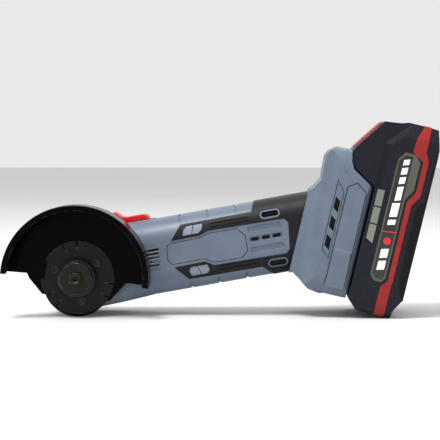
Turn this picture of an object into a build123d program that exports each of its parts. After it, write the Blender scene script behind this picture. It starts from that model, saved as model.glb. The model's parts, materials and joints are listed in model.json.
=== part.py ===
from build123d import *
import math
import os

# Cordless mini angle grinder for 76 mm discs, with a slide-on battery pack.
# Working frame: X runs along the motor axis from the head to the battery, Y along the spindle with
# the disc side at -Y, Z up. The battery frame is turned about Y: its X points out of the pack's
# outer face (depth) and its Z runs along the pack (height). finish_frame() stands the tool on the
# guard and the pack's lower corner, +Z up. Millimetres and degrees.

# grip and housing
GRIP_H = 46.0
GRIP_W = 48.0
GRIP_CORNER = 14.5
GRIP_RISE = 3.3
WALL = 2.2
NOSE_R = 21.0
NOSE_HALF_W = 23.4
HEAD_H = 46.6
HEAD_RISE = 2.2
BLEND_START = 24.0
SHOULDER = 44.0
PARTING = 0.06
RUBBER = 1.2
PROUD = 0.35

# battery and dock
PACK_TILT = 23.5
PACK_BASE = 20.5
PACK_TOP = 139.5
PACK_FACE = 196.8
PACK_TOE = 191.6
PACK_HALF_W = 37.5
HIP = 130.8
DOCK_BACK = 147.0
DOCK_FACE = 162.6
DOCK_BASE = 26.2
DOCK_TOP = 96.0
DOCK_HALF_W = 35.5
DOCK_FLOOR = 150.4
RAIL_BASE = 33.0
SLIDE_GAP = 0.35

# gears: straight bevels with a common apex at the crossing of the two axes
PINION_TEETH = 13
CROWN_TEETH = 20
MODULE = 1.2
TOOTH_LEN = 4.0
BACKLASH = 0.30
TIP = 0.80
ROOT = 1.15

# head
NECK_R = 19.0
NECK_FACE = 27.9
CASE_R = 18.2
CAVITY_R = 14.8
CASE_FRONT = 24.0
CASE_BACK = 14.0
COVER_BACK = 19.5
PLATE_T = 1.5
PLATE_R = 22.6
RETAINER_PCD = 29.0
GUARD_R = 45.1
GUARD_T = 1.5
GUARD_BACK = 26.2
GUARD_RIM = 50.0
GUARD_START = -16.8
GUARD_SWEEP = 182.0
GUARD_LOBE_R = 21.4
GUARD_LOBE_DROP = 2.8
RUN_GAP = 0.06

# spindle and clamp
SPINDLE_R = 4.0
ARBOR_R = 5.0
ARBOR_LEN = 1.2
SEAT = 37.4
INNER_FLANGE_R = 11.5
OUTER_FLANGE_R = 10.5
CLAMP_THREAD_R = 3.0

# motor
CAN_R = 17.4
CAN_START = 44.0
CAN_END = 96.0
CORE_R = 12.3
SHAFT_R = 2.5

# details of the grip: heights of the badges and air slots, and the clamshell screws
BADGES = (16.6, -8.9)
BADGE_X = 74.4
GRIP_VENTS = (17.9, -12.6)
GRIP_VENT_X = 123.0
GRIP_SCREWS = ((18.5, 19.4), (18.2, -16.6), (112.5, -14.6), (121.6, 22.4))
FOOT_SCREWS = ((138.0, 106.5), (139.5, 36.0))
BOSS_R = 3.0

# spindle lock, guard plate
LOCK_R = 6.0
LOCK_X = 0.0
LOCK_Z = 9.0
LOCK_TRAVEL = 3.0
RETAINER_ANGLES = (28, 150, 270)
TONGUE_ANGLES = (93, 212, 328)

# inside the battery
PACK_SPLIT = 172.0
UPPER_HALF_W = 33.0
BUTTON_TILT = 35.2
BUTTON_LOW = -14.0
BUTTON_HIGH = 8.4
BLADES = (-9.0, -3.0, 3.0, 9.0)
CELL_R = 9.15
CELL_PITCH = 19.6
FIRST_CELL = 40.0
CELL_DEPTH = 183.4
CASE_SCREWS = ((-31.0, 30.0), (31.0, 30.0), (-24.0, 133.0), (24.0, 133.0))
CASE_BOSS_R = 3.6

DISC_SIDE = Rot(90, 0, 0)  # local Z points to the disc side, -Y
PACK_FRAME = Rot(0, PACK_TILT, 0)


# ---------------------------------------------------------------- helpers
def along_x(sketch, start, end):
    """Extrude a (Y, Z) section along X."""
    plane = Plane(origin=(start, 0, 0), x_dir=(0, 1, 0), z_dir=(1, 0, 0))
    return extrude(plane * sketch, end - start)


def side_prism(sketch, low, high):
    """Extrude a side-view (X, Z) outline from Y = low to Y = high."""
    plane = Plane(origin=(0, high, 0), x_dir=(1, 0, 0), z_dir=(0, -1, 0))
    return extrude(plane * sketch, high - low)


def top_prism(sketch, low, high):
    """Extrude a top-view (X, Y) outline from Z = low to Z = high."""
    return Pos(0, 0, low) * extrude(sketch, high - low)


def outline(*points):
    """A filled polygon through the given corners."""
    return make_face(Polyline(*points, close=True))


def spin_disc(radius, front, back, x=0.0, z=0.0):
    """A cylinder along Y between y = -front and y = -back, front being nearer the disc side."""
    low, high = -front, -back
    turned = Rot(90, 0, 0) * Cylinder(radius, high - low)
    return Pos(x, (low + high) / 2, z) * turned


def rod_x(radius, start, end, y=0.0, z=0.0):
    """A cylinder along X."""
    return Pos((start + end) / 2, y, z) * Rot(0, 90, 0) * Cylinder(radius, end - start)


def block(x, y, z):
    """A box from three (low, high) pairs."""
    size = [high - low for low, high in (x, y, z)]
    centre = [(high + low) / 2 for low, high in (x, y, z)]
    return Pos(*centre) * Box(*size)


def around_y(count, radius, first=0.0):
    """Angles' places on a circle about Y, as (angle, x, z)."""
    for n in range(count):
        angle = first + 360 * n / count
        yield angle, radius * math.cos(math.radians(angle)), radius * math.sin(math.radians(angle))


def mirror_y(part):
    """The same part on the other side of the parting plane."""
    return mirror(part, about=Plane.XZ)


def joined(parts):
    """Fuse a list of solids."""
    first, *rest = parts
    return first.fuse(*rest) if rest else first


def group(parts):
    """Separate solids kept in one node."""
    solids = [solid for part in parts for solid in part.solids()]
    return Compound(children=solids)


# ---------------------------------------------------------------- housing outlines
def in_pack(depth, height):
    """A side-view point given in the battery frame, as (x, z) of the working frame."""
    c = math.cos(math.radians(PACK_TILT))
    s = math.sin(math.radians(PACK_TILT))
    return (depth * c + height * s, -depth * s + height * c)


GRIP_TOP = GRIP_RISE + GRIP_H / 2
GRIP_BOTTOM = GRIP_RISE - GRIP_H / 2


def handle_outline():
    """Side view of the clamshell: round nose, straight grip, flared foot."""
    nose = Circle(NOSE_R)
    grip = outline(
        (0, -NOSE_R), (8, -NOSE_R + 0.1), (SHOULDER, GRIP_BOTTOM), (150, GRIP_BOTTOM), (150, GRIP_TOP),
        (22, GRIP_TOP), (12, GRIP_TOP - 4.0), (0, NOSE_R)
    )
    foot = outline(
        *[in_pack(d, h) for d, h in (
            (118, 36.0), (126.6, 34.5), (132.0, 31.5), (138.7, 26.5), (DOCK_BACK, 25.0),
            (DOCK_BACK, 100.0), (143.4, 103.0), (143.4, 115.6), (137.0, 115.3), (132.6, 112.0),
            (130.8, 108.5), (131.6, 93.5), (128.4, 87.5), (124.0, 83.6), (118, 83.0),
        )]
    )
    beyond = outline(*[in_pack(d, h) for d, h in (
        (DOCK_BACK, 0), (DOCK_BACK + 80, 0), (DOCK_BACK + 80, 150), (DOCK_BACK, 150))])
    return (nose + grip + foot) - beyond


def grip_section(inset):
    """Cross-section of the grip, inset from the outer surface."""
    return Pos(0, GRIP_RISE) * RectangleRounded(
        GRIP_W - 2 * inset, GRIP_H - 2 * inset, GRIP_CORNER - inset
    )


def head_section(inset):
    """Cross-section round the gear case: nearly square, to clear the neck and the lid."""
    return Pos(0, HEAD_RISE) * RectangleRounded(2 * (NOSE_HALF_W - inset), HEAD_H - 2 * inset, 6.0 - inset)


def plane_at(x):
    """The plane across the tool at one place along it."""
    return Plane(origin=(x, 0, 0), x_dir=(0, 1, 0), z_dir=(1, 0, 0))


def barrel_body(inset):
    """The head's section, blending into the grip's along X."""
    head = along_x(head_section(inset), -40, BLEND_START)
    grip = along_x(grip_section(inset), SHOULDER, 152)
    blend = loft([plane_at(BLEND_START) * head_section(inset), plane_at(SHOULDER) * grip_section(inset)])
    return head + blend + grip


def foot_top_view(inset):
    """The flare of the foot across the pack, in the battery frame's (X, Y)."""
    w = GRIP_W / 2 - inset
    f = DOCK_HALF_W - inset
    flare = [
        (100, w), (121.5, w), (124.5, w + 0.9), (128.6, w + 4.8), (131.6, f - 3.4), (136.4, f - 2.4),
        (139.6, f - 0.5), (141.0, f), (170, f)
    ]
    return outline(*[(x, -y) for x, y in flare], *reversed(flare))


def foot_end_view(inset):
    """The foot seen along the pack's depth: a tall rounded rectangle, as (Y, Z) of the battery frame."""
    tall = 115.6 - 25.0 - 2 * inset
    return Pos(0, (115.6 + 25.0) / 2) * RectangleRounded(
        2 * (DOCK_HALF_W - inset), tall, 11.0 - inset
    )


def handle_body(inset=0.0):
    """The solid that the clamshell's outside follows, inset by a wall or a panel's depth."""
    side = handle_outline()
    if inset > 0:
        side = offset(side, amount=-inset, kind=Kind.INTERSECTION)
    if inset < 0:
        side = offset(side, amount=-inset, kind=Kind.INTERSECTION)
    wide = side_prism(side, -60, 60)
    far = PACK_FRAME * along_x(foot_end_view(inset), 125.6 + max(inset, 0.0), 170)
    flare = PACK_FRAME * top_prism(foot_top_view(inset), -20, 140)
    return wide & (barrel_body(inset) + (far & flare))


# ---------------------------------------------------------------- grip panels (side view, X and Z)
def soft_grip_outline():
    """The black soft grip: two arms, a sleeve, cut round the badges and the vent rims."""
    collar = in_pack(125.3, 84.6), in_pack(125.3, 34.0)
    arms = outline(
        (60.3, 11.9), (67.4, 20.6), (111.9, 20.9), (115.5, 30.0), (collar[0][0] + 1.0, 30.0), collar[0],
        collar[1], (collar[1][0], -22.0), (121.0, -22.0), (113.0, -13.6), (67.2, -13.4), (59.6, -4.6),
        (78.7, -4.2), (83.9, -7.4), (129.0, -7.9), (131.5, -5.6), (133.4, 10.8), (131.3, 13.6),
        (84.1, 14.2), (77.9, 12.2)
    )
    return arms


def badge_outline(z, grow=0.0):
    """A slanted island in each arm of the soft grip."""
    half = 5.9 + grow
    lean = 1.8 if z > 0 else -1.8
    tall = 2.7 + grow
    return Pos(BADGE_X, z) * outline(
        (-half - lean * 0.4, -tall), (half - 2.2 - lean * 0.4, -tall), (half - lean * 0.2, -tall * 0.3),
        (half + lean * 0.4, tall), (-half + 2.2 + lean * 0.4, tall), (-half + lean * 0.2, tall * 0.3)
    )


def vent_slot(z, grow=0.0):
    """A small round-ended air slot beside the sleeve."""
    return Pos(GRIP_VENT_X, z) * SlotOverall(10.6 + 2 * grow, 3.6 + 2 * grow)


def soft_grip_mask():
    """Where the soft grip lies, in side view."""
    mask = soft_grip_outline()
    for z in BADGES:
        mask -= badge_outline(z, 0.15)
    for z in GRIP_VENTS:
        mask -= vent_slot(z, 1.0)
    return mask


def inset_panel_outline():
    """The smooth panel between the arms."""
    return outline(
        (57.0, 9.6), (60.0, 10.6), (77.6, 11.0), (84.0, 12.9), (101.6, 12.6), (106.1, 7.4),
        (106.1, -2.2), (102.0, -6.0), (84.0, -6.0), (79.0, -2.9), (58.4, -2.9), (56.0, 0.4)
    )


def side_detail_cutter():
    """Shallow grooves and louvres common to both sides of the grip."""
    panel = inset_panel_outline()
    groove = panel - offset(panel, amount=-0.5, kind=Kind.INTERSECTION)
    for z in (10.6, 4.2, -2.2):
        groove += Pos(118.2, z) * RectangleRounded(20.6, 3.5, 0.9)
    for z in BADGES:
        lean = 0.9 if z > 0 else -0.9
        split = outline((-lean - 0.2, -2.9), (0.2 - lean, -2.9), (lean + 0.2, 2.9), (lean - 0.2, 2.9))
        groove += Pos(BADGE_X, z) * split
    return groove


def vent_block_slots():
    """Exhaust slots behind the head."""
    slots = [Pos(48.1 - 0.25 * n, 8.2 - 2.35 * n) * SlotOverall(7.4, 1.15) for n in range(5)]
    return Sketch() + slots


# ---------------------------------------------------------------- bosses
def screw_places():
    """Where the clamshell's screws run, in side view."""
    return list(GRIP_SCREWS) + [in_pack(depth, height) for depth, height in FOOT_SCREWS]


def left_boss(x, z):
    """A blind screw boss in the disc-side shell."""
    return spin_disc(BOSS_R, 36.0, 0.2, x, z)


def right_boss(x, z):
    """A screw boss in the far shell."""
    return spin_disc(BOSS_R + 0.4, -0.2, -36.0, x, z)


# ---------------------------------------------------------------- housing
def shell_blank():
    """The hollow clamshell before it is split, with everything that both sides share."""
    outer = handle_body()
    inner = handle_body(WALL)
    blank = outer - inner
    blank -= side_prism(soft_grip_mask(), -40, 40) & (outer - handle_body(RUBBER))
    shallow = outer - handle_body(0.8)
    blank -= side_prism(side_detail_cutter(), -40, 40) & shallow
    blank -= side_prism(vent_block_slots(), -40, 40)
    for z in GRIP_VENTS:
        blank -= side_prism(vent_slot(z), -40, 40)
    for x in (111.4, 118.2, 125.0):
        blank -= side_prism(Pos(x, 4.2) * SlotOverall(5.2, 2.3), -40, 40)
    blank -= finger_notches()
    blank -= foot_windows()
    blank -= dock_opening()
    blank -= switch_well()
    blank -= neck_opening()
    return blank


def finger_notches():
    """Shallow steps across the top and the bottom of the grip."""
    band = handle_body() - handle_body(0.8)
    cuts = Sketch()
    for x in (67.5, 85.0, 102.5):
        cuts += Pos(x, 27.0) * Rectangle(1.4, 9.6)
        cuts += Pos(x, -20.0) * Rectangle(1.4, 9.6)
    return band & side_prism(cuts, -40, 40)


def foot_windows():
    """The strip of three slanted windows on each side of the foot."""
    strip = outline((141.2, 96.0), (146.7, 89.5), (146.7, 47.0), (141.2, 53.0))
    groove = strip - offset(strip, amount=-0.5, kind=Kind.INTERSECTION)
    windows = Sketch() + [
        outline((142.4, h - 2.4), (145.7, h - 4.8), (145.7, h + 2.2), (142.4, h + 4.6))
        for h in (57.6, 69.3, 81.0)
    ]
    shallow = side_prism(groove, -40, 40) - side_prism(groove, -DOCK_HALF_W + 0.6, DOCK_HALF_W - 0.6)
    return PACK_FRAME * (shallow + side_prism(windows, -40, 40))


def dock_opening():
    """The mouth in the foot's end for the battery dock's spigot."""
    return PACK_FRAME * block((140, 170), (-30.2, 30.2), (33.8, 97.2))


def switch_well():
    """The slot in the top of the grip that the switch slider runs in."""
    return block((21.4, 49.2), (-6.3, 6.3), (20, 32))


def neck_opening():
    """The round opening on the disc side for the gear case's neck."""
    return spin_disc(NECK_R + 0.5, 30, 18)


def switch_collar():
    """A low raised rim round the switch well."""
    ring = block((19.4, 51.4), (-9.6, 9.6), (GRIP_TOP - 3.0, GRIP_TOP + 0.7))
    ring = chamfer(ring.edges().group_by(Axis.Z)[-1], 0.6)
    return ring - switch_well() - handle_body(WALL)


def left_housing():
    """Disc-side half of the clamshell."""
    half = shell_blank() + switch_collar()
    bosses = joined([left_boss(x, z) for x, z in screw_places()]) & handle_body(0.75 * WALL)
    half += bosses
    half &= block((-60, 260), (-60, -PARTING), (-80, 150))
    for x, z in screw_places():
        half -= spin_disc(1.55, 15, 0, x, z)
    return half


def right_housing():
    """Far half of the clamshell, with the screw holes and the lock button's hole."""
    half = shell_blank() + switch_collar()
    bosses = joined([right_boss(x, z) for x, z in screw_places()]) & handle_body(0.75 * WALL)
    half += bosses
    half &= block((-60, 260), (PARTING, 60), (-80, 150))
    for x, z in screw_places():
        half -= spin_disc(1.75, 0, -60, x, z)
        half -= spin_disc(3.0, -13.0, -60, x, z)
    half -= spin_disc(LOCK_R + 0.35, -15, -40, LOCK_X, LOCK_Z)
    return half


def housing_screws():
    """Pan-head screws that close the clamshell."""
    screws = []
    for x, z in screw_places():
        head = spin_disc(2.8, -13.05, -15.4, x, z)
        shank = spin_disc(1.5, 13.0, -13.1, x, z)
        socket = Pos(x, 15.4, z) * Rot(90, 0, 0) * extrude(RegularPolygon(1.3, 6), 1.3)
        screws.append(head + shank - socket)
    return group(screws)


def soft_grip(side):
    """One half of the rubber grip, moulded over the shell."""
    skin = handle_body(-PROUD) - handle_body(RUBBER)
    skin &= side_prism(soft_grip_mask(), -40, 40)
    for groove_z in (17.0, -9.6):
        for step in (-1.1, 1.1):
            line = block((86.0, 110.0), (-40, 40), (groove_z + step - 0.3, groove_z + step + 0.3))
            skin -= line - handle_body(0.25)
    skin -= side_prism(Sketch() + [vent_slot(z, 0.9) for z in GRIP_VENTS], -40, 40)
    keep = block((-60, 260), (-60, -PARTING), (-80, 150))
    if side > 0:
        keep = mirror_y(keep)
        for x, z in GRIP_SCREWS:
            skin -= spin_disc(3.1, -12.9, -60, x, z)
    return skin & keep


# ---------------------------------------------------------------- head
def gear_case():
    """Die-cast case: spindle housing, neck for the guard, and a sleeve for the pinion bearing."""
    body = spin_disc(CASE_R, CASE_FRONT, -CASE_BACK)
    body += rod_x(13.0, 10, 28)
    body += spin_disc(NECK_R, NECK_FACE, 22.0)
    flange = along_x(Pos(0, 0) * RectangleRounded(30, 31, 6), 22.5, 25.5)
    body += flange
    body -= spin_disc(CAVITY_R, 12.8, -CASE_BACK - 1)
    body -= spin_disc(11.0 + 0.02, 21.6, 12)
    body -= spin_disc(8.4, 40, 20)
    body -= rod_x(9.4, 0, 16.5)
    body -= rod_x(8.0 + 0.02, 16, 21.0)
    body -= rod_x(4.6, 20, 30)
    for _, x, z in around_y(4, 16.4, 45):
        body -= spin_disc(1.3, -4, -15, x, z)
    for angle in RETAINER_ANGLES:
        x = RETAINER_PCD / 2 * math.cos(math.radians(angle))
        z = RETAINER_PCD / 2 * math.sin(math.radians(angle))
        body -= spin_disc(1.55, 30, 20.2, x, z)
    return body


def gear_case_cover():
    """Lid on the far side, with the rear bearing's seat and the lock pin's guide."""
    lid = spin_disc(CASE_R, -CASE_BACK - 0.02, -COVER_BACK)
    lid -= spin_disc(7.0 + 0.02, -CASE_BACK, -COVER_BACK + 0.8)
    lid -= spin_disc(1.6, -CASE_BACK, -30, LOCK_X, LOCK_Z)
    for _, x, z in around_y(4, 16.4, 45):
        lid -= spin_disc(1.45, -10, -22, x, z)
        lid -= spin_disc(2.1, -COVER_BACK + 1.8, -22, x, z)
    return lid


def gear_case_screws():
    """Screws that hold the lid on the case."""
    screws = []
    for _, x, z in around_y(4, 16.4, 45):
        head = spin_disc(2.0, -COVER_BACK + 1.75, -COVER_BACK + 0.1, x, z)
        screws.append(head + spin_disc(1.2, -5, -COVER_BACK + 1.7, x, z))
    return group(screws)


def spindle():
    """Output shaft: stepped, with the disc arbor's seat and a threaded end for the clamp screw."""
    shaft = spin_disc(SPINDLE_R, SEAT + ARBOR_LEN - 1.6, -COVER_BACK + 1.1)
    shaft += spin_disc(6.0, 12.85, 9.6)
    shaft += spin_disc(5.4, 31.0, 21.7)
    shaft = shaft - spin_disc(4.6, -12.6, -30) + spin_disc(2.5, -12, -COVER_BACK + 1.1)
    return shaft - spin_disc(CLAMP_THREAD_R + RUN_GAP, 60, 17)


def tooth_face(turn, pitch_r, height, slope, scale):
    """A tooth's cross-section, square to the pitch cone, at a scale from the apex."""
    pitch_half = math.pi * MODULE / 4 - BACKLASH / 2
    levels = ((-1.5 * MODULE, 1.42 * pitch_half), (0, pitch_half), (TIP * MODULE, 0.42 * pitch_half))
    plane = Plane(
        origin=(pitch_r * scale * math.cos(turn), pitch_r * scale * math.sin(turn), height * scale),
        x_dir=(-math.sin(turn), math.cos(turn), 0),
        z_dir=(math.sin(slope) * math.cos(turn), math.sin(slope) * math.sin(turn), math.cos(slope)),
    )
    ring = [(-half * scale, -level * scale) for level, half in levels]
    ring += [(half * scale, -level * scale) for level, half in reversed(levels)]
    return plane * outline(*ring)


def bevel_gear(teeth, mate_teeth):
    """A straight bevel gear about +Z whose pitch cone opens upward from an apex at the origin."""
    pitch_r = MODULE * teeth / 2
    height = MODULE * mate_teeth / 2
    slope = math.atan2(pitch_r, height)
    toe = 1 - TOOTH_LEN / math.hypot(pitch_r, height)
    root_z = height + ROOT * MODULE * math.sin(slope)
    root_r = pitch_r - ROOT * MODULE * math.cos(slope)
    cone = Plane.XZ * outline((0, toe * root_z), (toe * root_r, toe * root_z), (root_r, root_z), (0, root_z))
    gear = revolve(cone, Axis.Z)
    for n in range(teeth):
        turn = 2 * math.pi * n / teeth
        gear += loft([tooth_face(turn, pitch_r, height, slope, scale) for scale in (toe, 1.0)], ruled=True)
    return gear


def crown_gear():
    """The large bevel on the spindle, with four holes in its back for the lock pin."""
    gear = Rot(-90, 0, 0) * bevel_gear(CROWN_TEETH, PINION_TEETH)
    gear += spin_disc(12.6, -8.7, -11.2)
    gear -= spin_disc(SPINDLE_R + 0.62, 10, -20)
    for _, x, z in around_y(4, LOCK_Z, 90):
        gear -= spin_disc(1.7, -8.6, -12, x, z)
    return gear


def gear_hub():
    """Keyed hub that carries the crown gear on the spindle."""
    hub = spin_disc(SPINDLE_R + 0.6, -4.6, -12.5)
    return hub - spin_disc(SPINDLE_R + 0.02, 0, -20)


def motor_pinion():
    """The small bevel pressed on the motor shaft; a gap between its teeth faces the crown gear's tooth."""
    phase = 90 + 180 / PINION_TEETH
    gear = Rot(0, 90, 0) * Rot(0, 0, phase) * bevel_gear(PINION_TEETH, CROWN_TEETH)
    gear += rod_x(5.2, 12.6, 14.6)
    return gear - rod_x(SHAFT_R + 0.02, 0, 30)


def bearing(outer_r, inner_r, front, back, ball_r):
    """A ball bearing about Y as (outer ring with its balls' cage, inner ring)."""
    mid = (outer_r + inner_r) / 2
    split = ball_r * 0.55
    outer = spin_disc(outer_r, front, back) - spin_disc(mid + split, front + 1, back - 1)
    hole = spin_disc(mid - split + 0.25, front + 1, back - 1)
    shield_f = spin_disc(mid + split, front - 0.3, front - 0.7) - hole
    shield_b = spin_disc(mid + split, back + 0.7, back + 0.3) - hole
    inner = spin_disc(mid - split, front, back) - spin_disc(inner_r, front + 1, back - 1)
    return joined([outer, shield_f, shield_b]), inner


def turned_to_x(part, x):
    """Move a part made about Y at the origin to run about X at x."""
    return Pos(x, 0, 0) * Rot(0, 0, 90) * part


def retainer_plate():
    """Sprung plate that keeps the guard on the neck, with three detent tongues."""
    plate = spin_disc(PLATE_R, NECK_FACE + 0.02 + PLATE_T, NECK_FACE + 0.02)
    plate -= spin_disc(8.6, 40, 20)
    for angle in RETAINER_ANGLES:
        x = RETAINER_PCD / 2 * math.cos(math.radians(angle))
        z = RETAINER_PCD / 2 * math.sin(math.radians(angle))
        plate -= spin_disc(1.75, 40, 20, x, z)
    for angle in TONGUE_ANGLES:
        for side in (-11.5, 11.5):
            slot = block((16.5, 30), (-35, -20), (-0.45, 0.45))
            plate -= Rot(0, -(angle + side), 0) * slot
        turn = math.radians(angle)
        plate -= spin_disc(0.9, 40, 28.9, 20.2 * math.cos(turn), 20.2 * math.sin(turn))
    notch = block((20.0, 30), (-35, -20), (-5.5, 5.5))
    plate -= Rot(0, -157, 0) * notch
    return plate


def retainer_screws():
    """Three small screws through the plate into the neck."""
    screws = []
    for angle in RETAINER_ANGLES:
        x = RETAINER_PCD / 2 * math.cos(math.radians(angle))
        z = RETAINER_PCD / 2 * math.sin(math.radians(angle))
        top = NECK_FACE + PLATE_T
        head = spin_disc(2.6, top + 1.6, top + 0.05, x, z)
        shank = spin_disc(1.5, top + 0.1, 21.0, x, z)
        slot = block((x - 0.35, x + 0.35), (-top - 2.5, -top - 0.9), (z - 1.6, z + 1.6))
        slot += block((x - 1.6, x + 1.6), (-top - 2.5, -top - 0.9), (z - 0.35, z + 0.35))
        screws.append(head + shank - slot)
    return group(screws)


def sector(radius, start, sweep):
    """A pie slice in side view."""
    ends = [(radius * 1.6 * math.cos(math.radians(a)), radius * 1.6 * math.sin(math.radians(a)))
            for a in (start, start + sweep / 3, start + 2 * sweep / 3, start + sweep)]
    return outline((0, 0), *ends)


def lobe_centre():
    """Centre of the guard's round lobe, below the spindle on the guard's line of symmetry."""
    down = math.radians(GUARD_START + GUARD_SWEEP / 2 - 180)
    return GUARD_LOBE_DROP * math.cos(down), GUARD_LOBE_DROP * math.sin(down)


def guard_back_outline():
    """The guard's back wall: a half disc above, a round lobe under the neck and concave shoulders."""
    upper = Circle(GUARD_R) & sector(GUARD_R, GUARD_START, GUARD_SWEEP)
    lobe = Pos(*lobe_centre()) * Circle(GUARD_LOBE_R)
    turn = GUARD_START + (GUARD_SWEEP - 180) / 2
    web = Rot(0, 0, turn) * outline(
        (-32.5, 1), (-30, -3.5), (-21.0, -12.5), (21.0, -12.5), (27, -4.5), (31, 1)
    )
    left = Rot(0, 0, turn) * Pos(-38.0, -16.5) * Circle(13.0)
    right = Rot(0, 0, turn) * Pos(37.0, -17.0) * Circle(13.0)
    return upper + ((web - left - right) + lobe)


def guard():
    """Pressed steel half guard with a rolled rim, turning on the gear case's neck."""
    plate = side_prism(guard_back_outline(), -GUARD_BACK - GUARD_T, -GUARD_BACK)
    band = Circle(GUARD_R) - Circle(GUARD_R - GUARD_T)
    band &= sector(GUARD_R, GUARD_START, GUARD_SWEEP)
    wall = side_prism(band, -GUARD_RIM, -GUARD_BACK)
    lip = Circle(GUARD_R) - Circle(GUARD_R - 3.3)
    lip &= sector(GUARD_R, GUARD_START, GUARD_SWEEP)
    rim = side_prism(lip, -GUARD_RIM, -GUARD_RIM + 1.4)
    shape = plate + wall + rim
    outer = [e for e in shape.edges().filter_by(GeomType.CIRCLE)
             if abs(e.radius - GUARD_R) < 0.01 and abs(e.center().Y + GUARD_BACK) < 0.01]
    shape = fillet(outer, 1.2) if outer else shape
    rolled = [e for e in shape.edges().filter_by(GeomType.CIRCLE)
              if abs(e.radius - GUARD_R) < 0.01 and abs(e.center().Y + GUARD_RIM) < 0.01]
    shape = fillet(rolled, 1.0) if rolled else shape
    shape -= spin_disc(NECK_R + RUN_GAP, 60, 20)
    return shape


def inner_flange():
    """Backing flange locked on the spindle, with the raised arbor that centres a 10 mm bore."""
    ring = spin_disc(INNER_FLANGE_R, SEAT, SEAT - 3.6)
    ring = chamfer(ring.edges().filter_by(GeomType.CIRCLE), 0.5)
    ring += spin_disc(8.0, SEAT - 3.0, 31.02)
    ring += spin_disc(ARBOR_R, SEAT + ARBOR_LEN, SEAT - 1)
    return ring - spin_disc(SPINDLE_R + 0.02, 60, 20)


def outer_flange():
    """Clamp washer with a bevelled rim."""
    face = SEAT + ARBOR_LEN + 0.02
    ring = spin_disc(OUTER_FLANGE_R, face + 3.4, face)
    ring = chamfer(ring.edges().filter_by(GeomType.CIRCLE).sort_by(Axis.Y)[0], 0.9)
    return ring - spin_disc(CLAMP_THREAD_R + 0.25, 60, 20)


def clamp_screw():
    """Socket screw that holds the flange, threaded into the spindle's end."""
    face = SEAT + ARBOR_LEN + 3.44
    head = spin_disc(4.0, face + 3.2, face)
    head = chamfer(head.edges().filter_by(GeomType.CIRCLE).sort_by(Axis.Y)[0], 0.5)
    head += spin_disc(CLAMP_THREAD_R, face + 1, 20.5)
    socket = Pos(0, -face - 3.2, 0) * Rot(-90, 0, 0) * extrude(RegularPolygon(2.3, 6), 2.4)
    return head - socket


def lock_button():
    """Push button on the far side whose pin drops into the crown gear."""
    low = -COVER_BACK - LOCK_TRAVEL - 0.3
    cap = spin_disc(LOCK_R, low, low - 3.6, LOCK_X, LOCK_Z)
    cap = chamfer(cap.edges().filter_by(GeomType.CIRCLE).sort_by(Axis.Y)[-1], 0.8)
    return cap + spin_disc(1.5, -12.0, low - 1, LOCK_X, LOCK_Z)


def lock_spring():
    """Spring under the lock button."""
    coils = Helix(pitch=0.9, height=LOCK_TRAVEL - 0.4, radius=2.6)
    wire = sweep(Plane(coils @ 0, z_dir=coils % 0) * Circle(0.22), path=coils)
    return Pos(LOCK_X, COVER_BACK + 0.3, LOCK_Z) * Rot(-90, 0, 0) * wire


# ---------------------------------------------------------------- motor
def motor_can():
    """Drawn steel can with a closed front face."""
    can = rod_x(CAN_R, CAN_START, CAN_END) - rod_x(CAN_R - 1.4, CAN_START + 1.4, CAN_END + 1)
    can -= rod_x(4.0, CAN_START - 1, CAN_START + 2)
    for side in (-1, 1):
        can -= rod_x(2.2, CAN_START - 1, CAN_START + 2, side * 10.0, 0)
    return can


def motor_magnets():
    """Two arc magnets inside the can."""
    tube = rod_x(CAN_R - 1.42, CAN_START + 6, CAN_END - 6) - rod_x(CORE_R + 0.5, CAN_START, CAN_END)
    gap = block((0, 150), (-5.5, 5.5), (-30, 30))
    return group((tube - gap).solids())


def rotor_core():
    """Laminated core with open slots for the windings."""
    core = rod_x(CORE_R, CAN_START + 9, CAN_END - 9)
    for n in range(5):
        slot = rod_x(3.0, CAN_START, CAN_END, 8.2, 0) + block((CAN_START, CAN_END), (8, 14), (-0.8, 0.8))
        core -= Rot(72 * n, 0, 0) * slot
    return core - rod_x(SHAFT_R + 0.02, 0, 150)


def rotor_windings():
    """Copper end turns and the runs in the slots."""
    ends = []
    for start, end in ((CAN_START + 4.5, CAN_START + 8.95), (CAN_END - 8.95, CAN_END - 4.5)):
        ring = rod_x(10.6, start, end) - rod_x(4.0, start - 1, end + 1)
        ends.append(fillet(ring.edges().filter_by(GeomType.CIRCLE), 1.2))
    runs = [Rot(72 * n, 0, 0) * rod_x(2.6, CAN_START + 8.0, CAN_END - 8.0, 7.9, 0) for n in range(5)]
    return joined(ends + runs)


def commutator():
    """Copper segments that the brushes bear on."""
    drum = rod_x(4.6, CAN_END - 2.5, CAN_END + 6.0) - rod_x(SHAFT_R + 0.02, 0, 150)
    for n in range(5):
        drum -= Rot(72 * n + 36, 0, 0) * block((0, 150), (4.1, 6), (-0.25, 0.25))
    return drum


def rotor_shaft():
    """Motor shaft from the pinion to the rear bush."""
    return rod_x(SHAFT_R, 8.9, CAN_END + 10.0)


def cooling_fan():
    """Radial fan between the gear case and the motor."""
    hub = rod_x(4.6, 31.0, 41.0)
    disc = rod_x(15.5, 39.4, 41.0)
    blades = [Rot(360 / 11 * n, 0, 0) * block((31.6, 39.5), (4.0, 15.2), (-0.5, 0.5)) for n in range(11)]
    return joined([hub, disc] + blades) - rod_x(SHAFT_R + 0.02, 0, 150)


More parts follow.
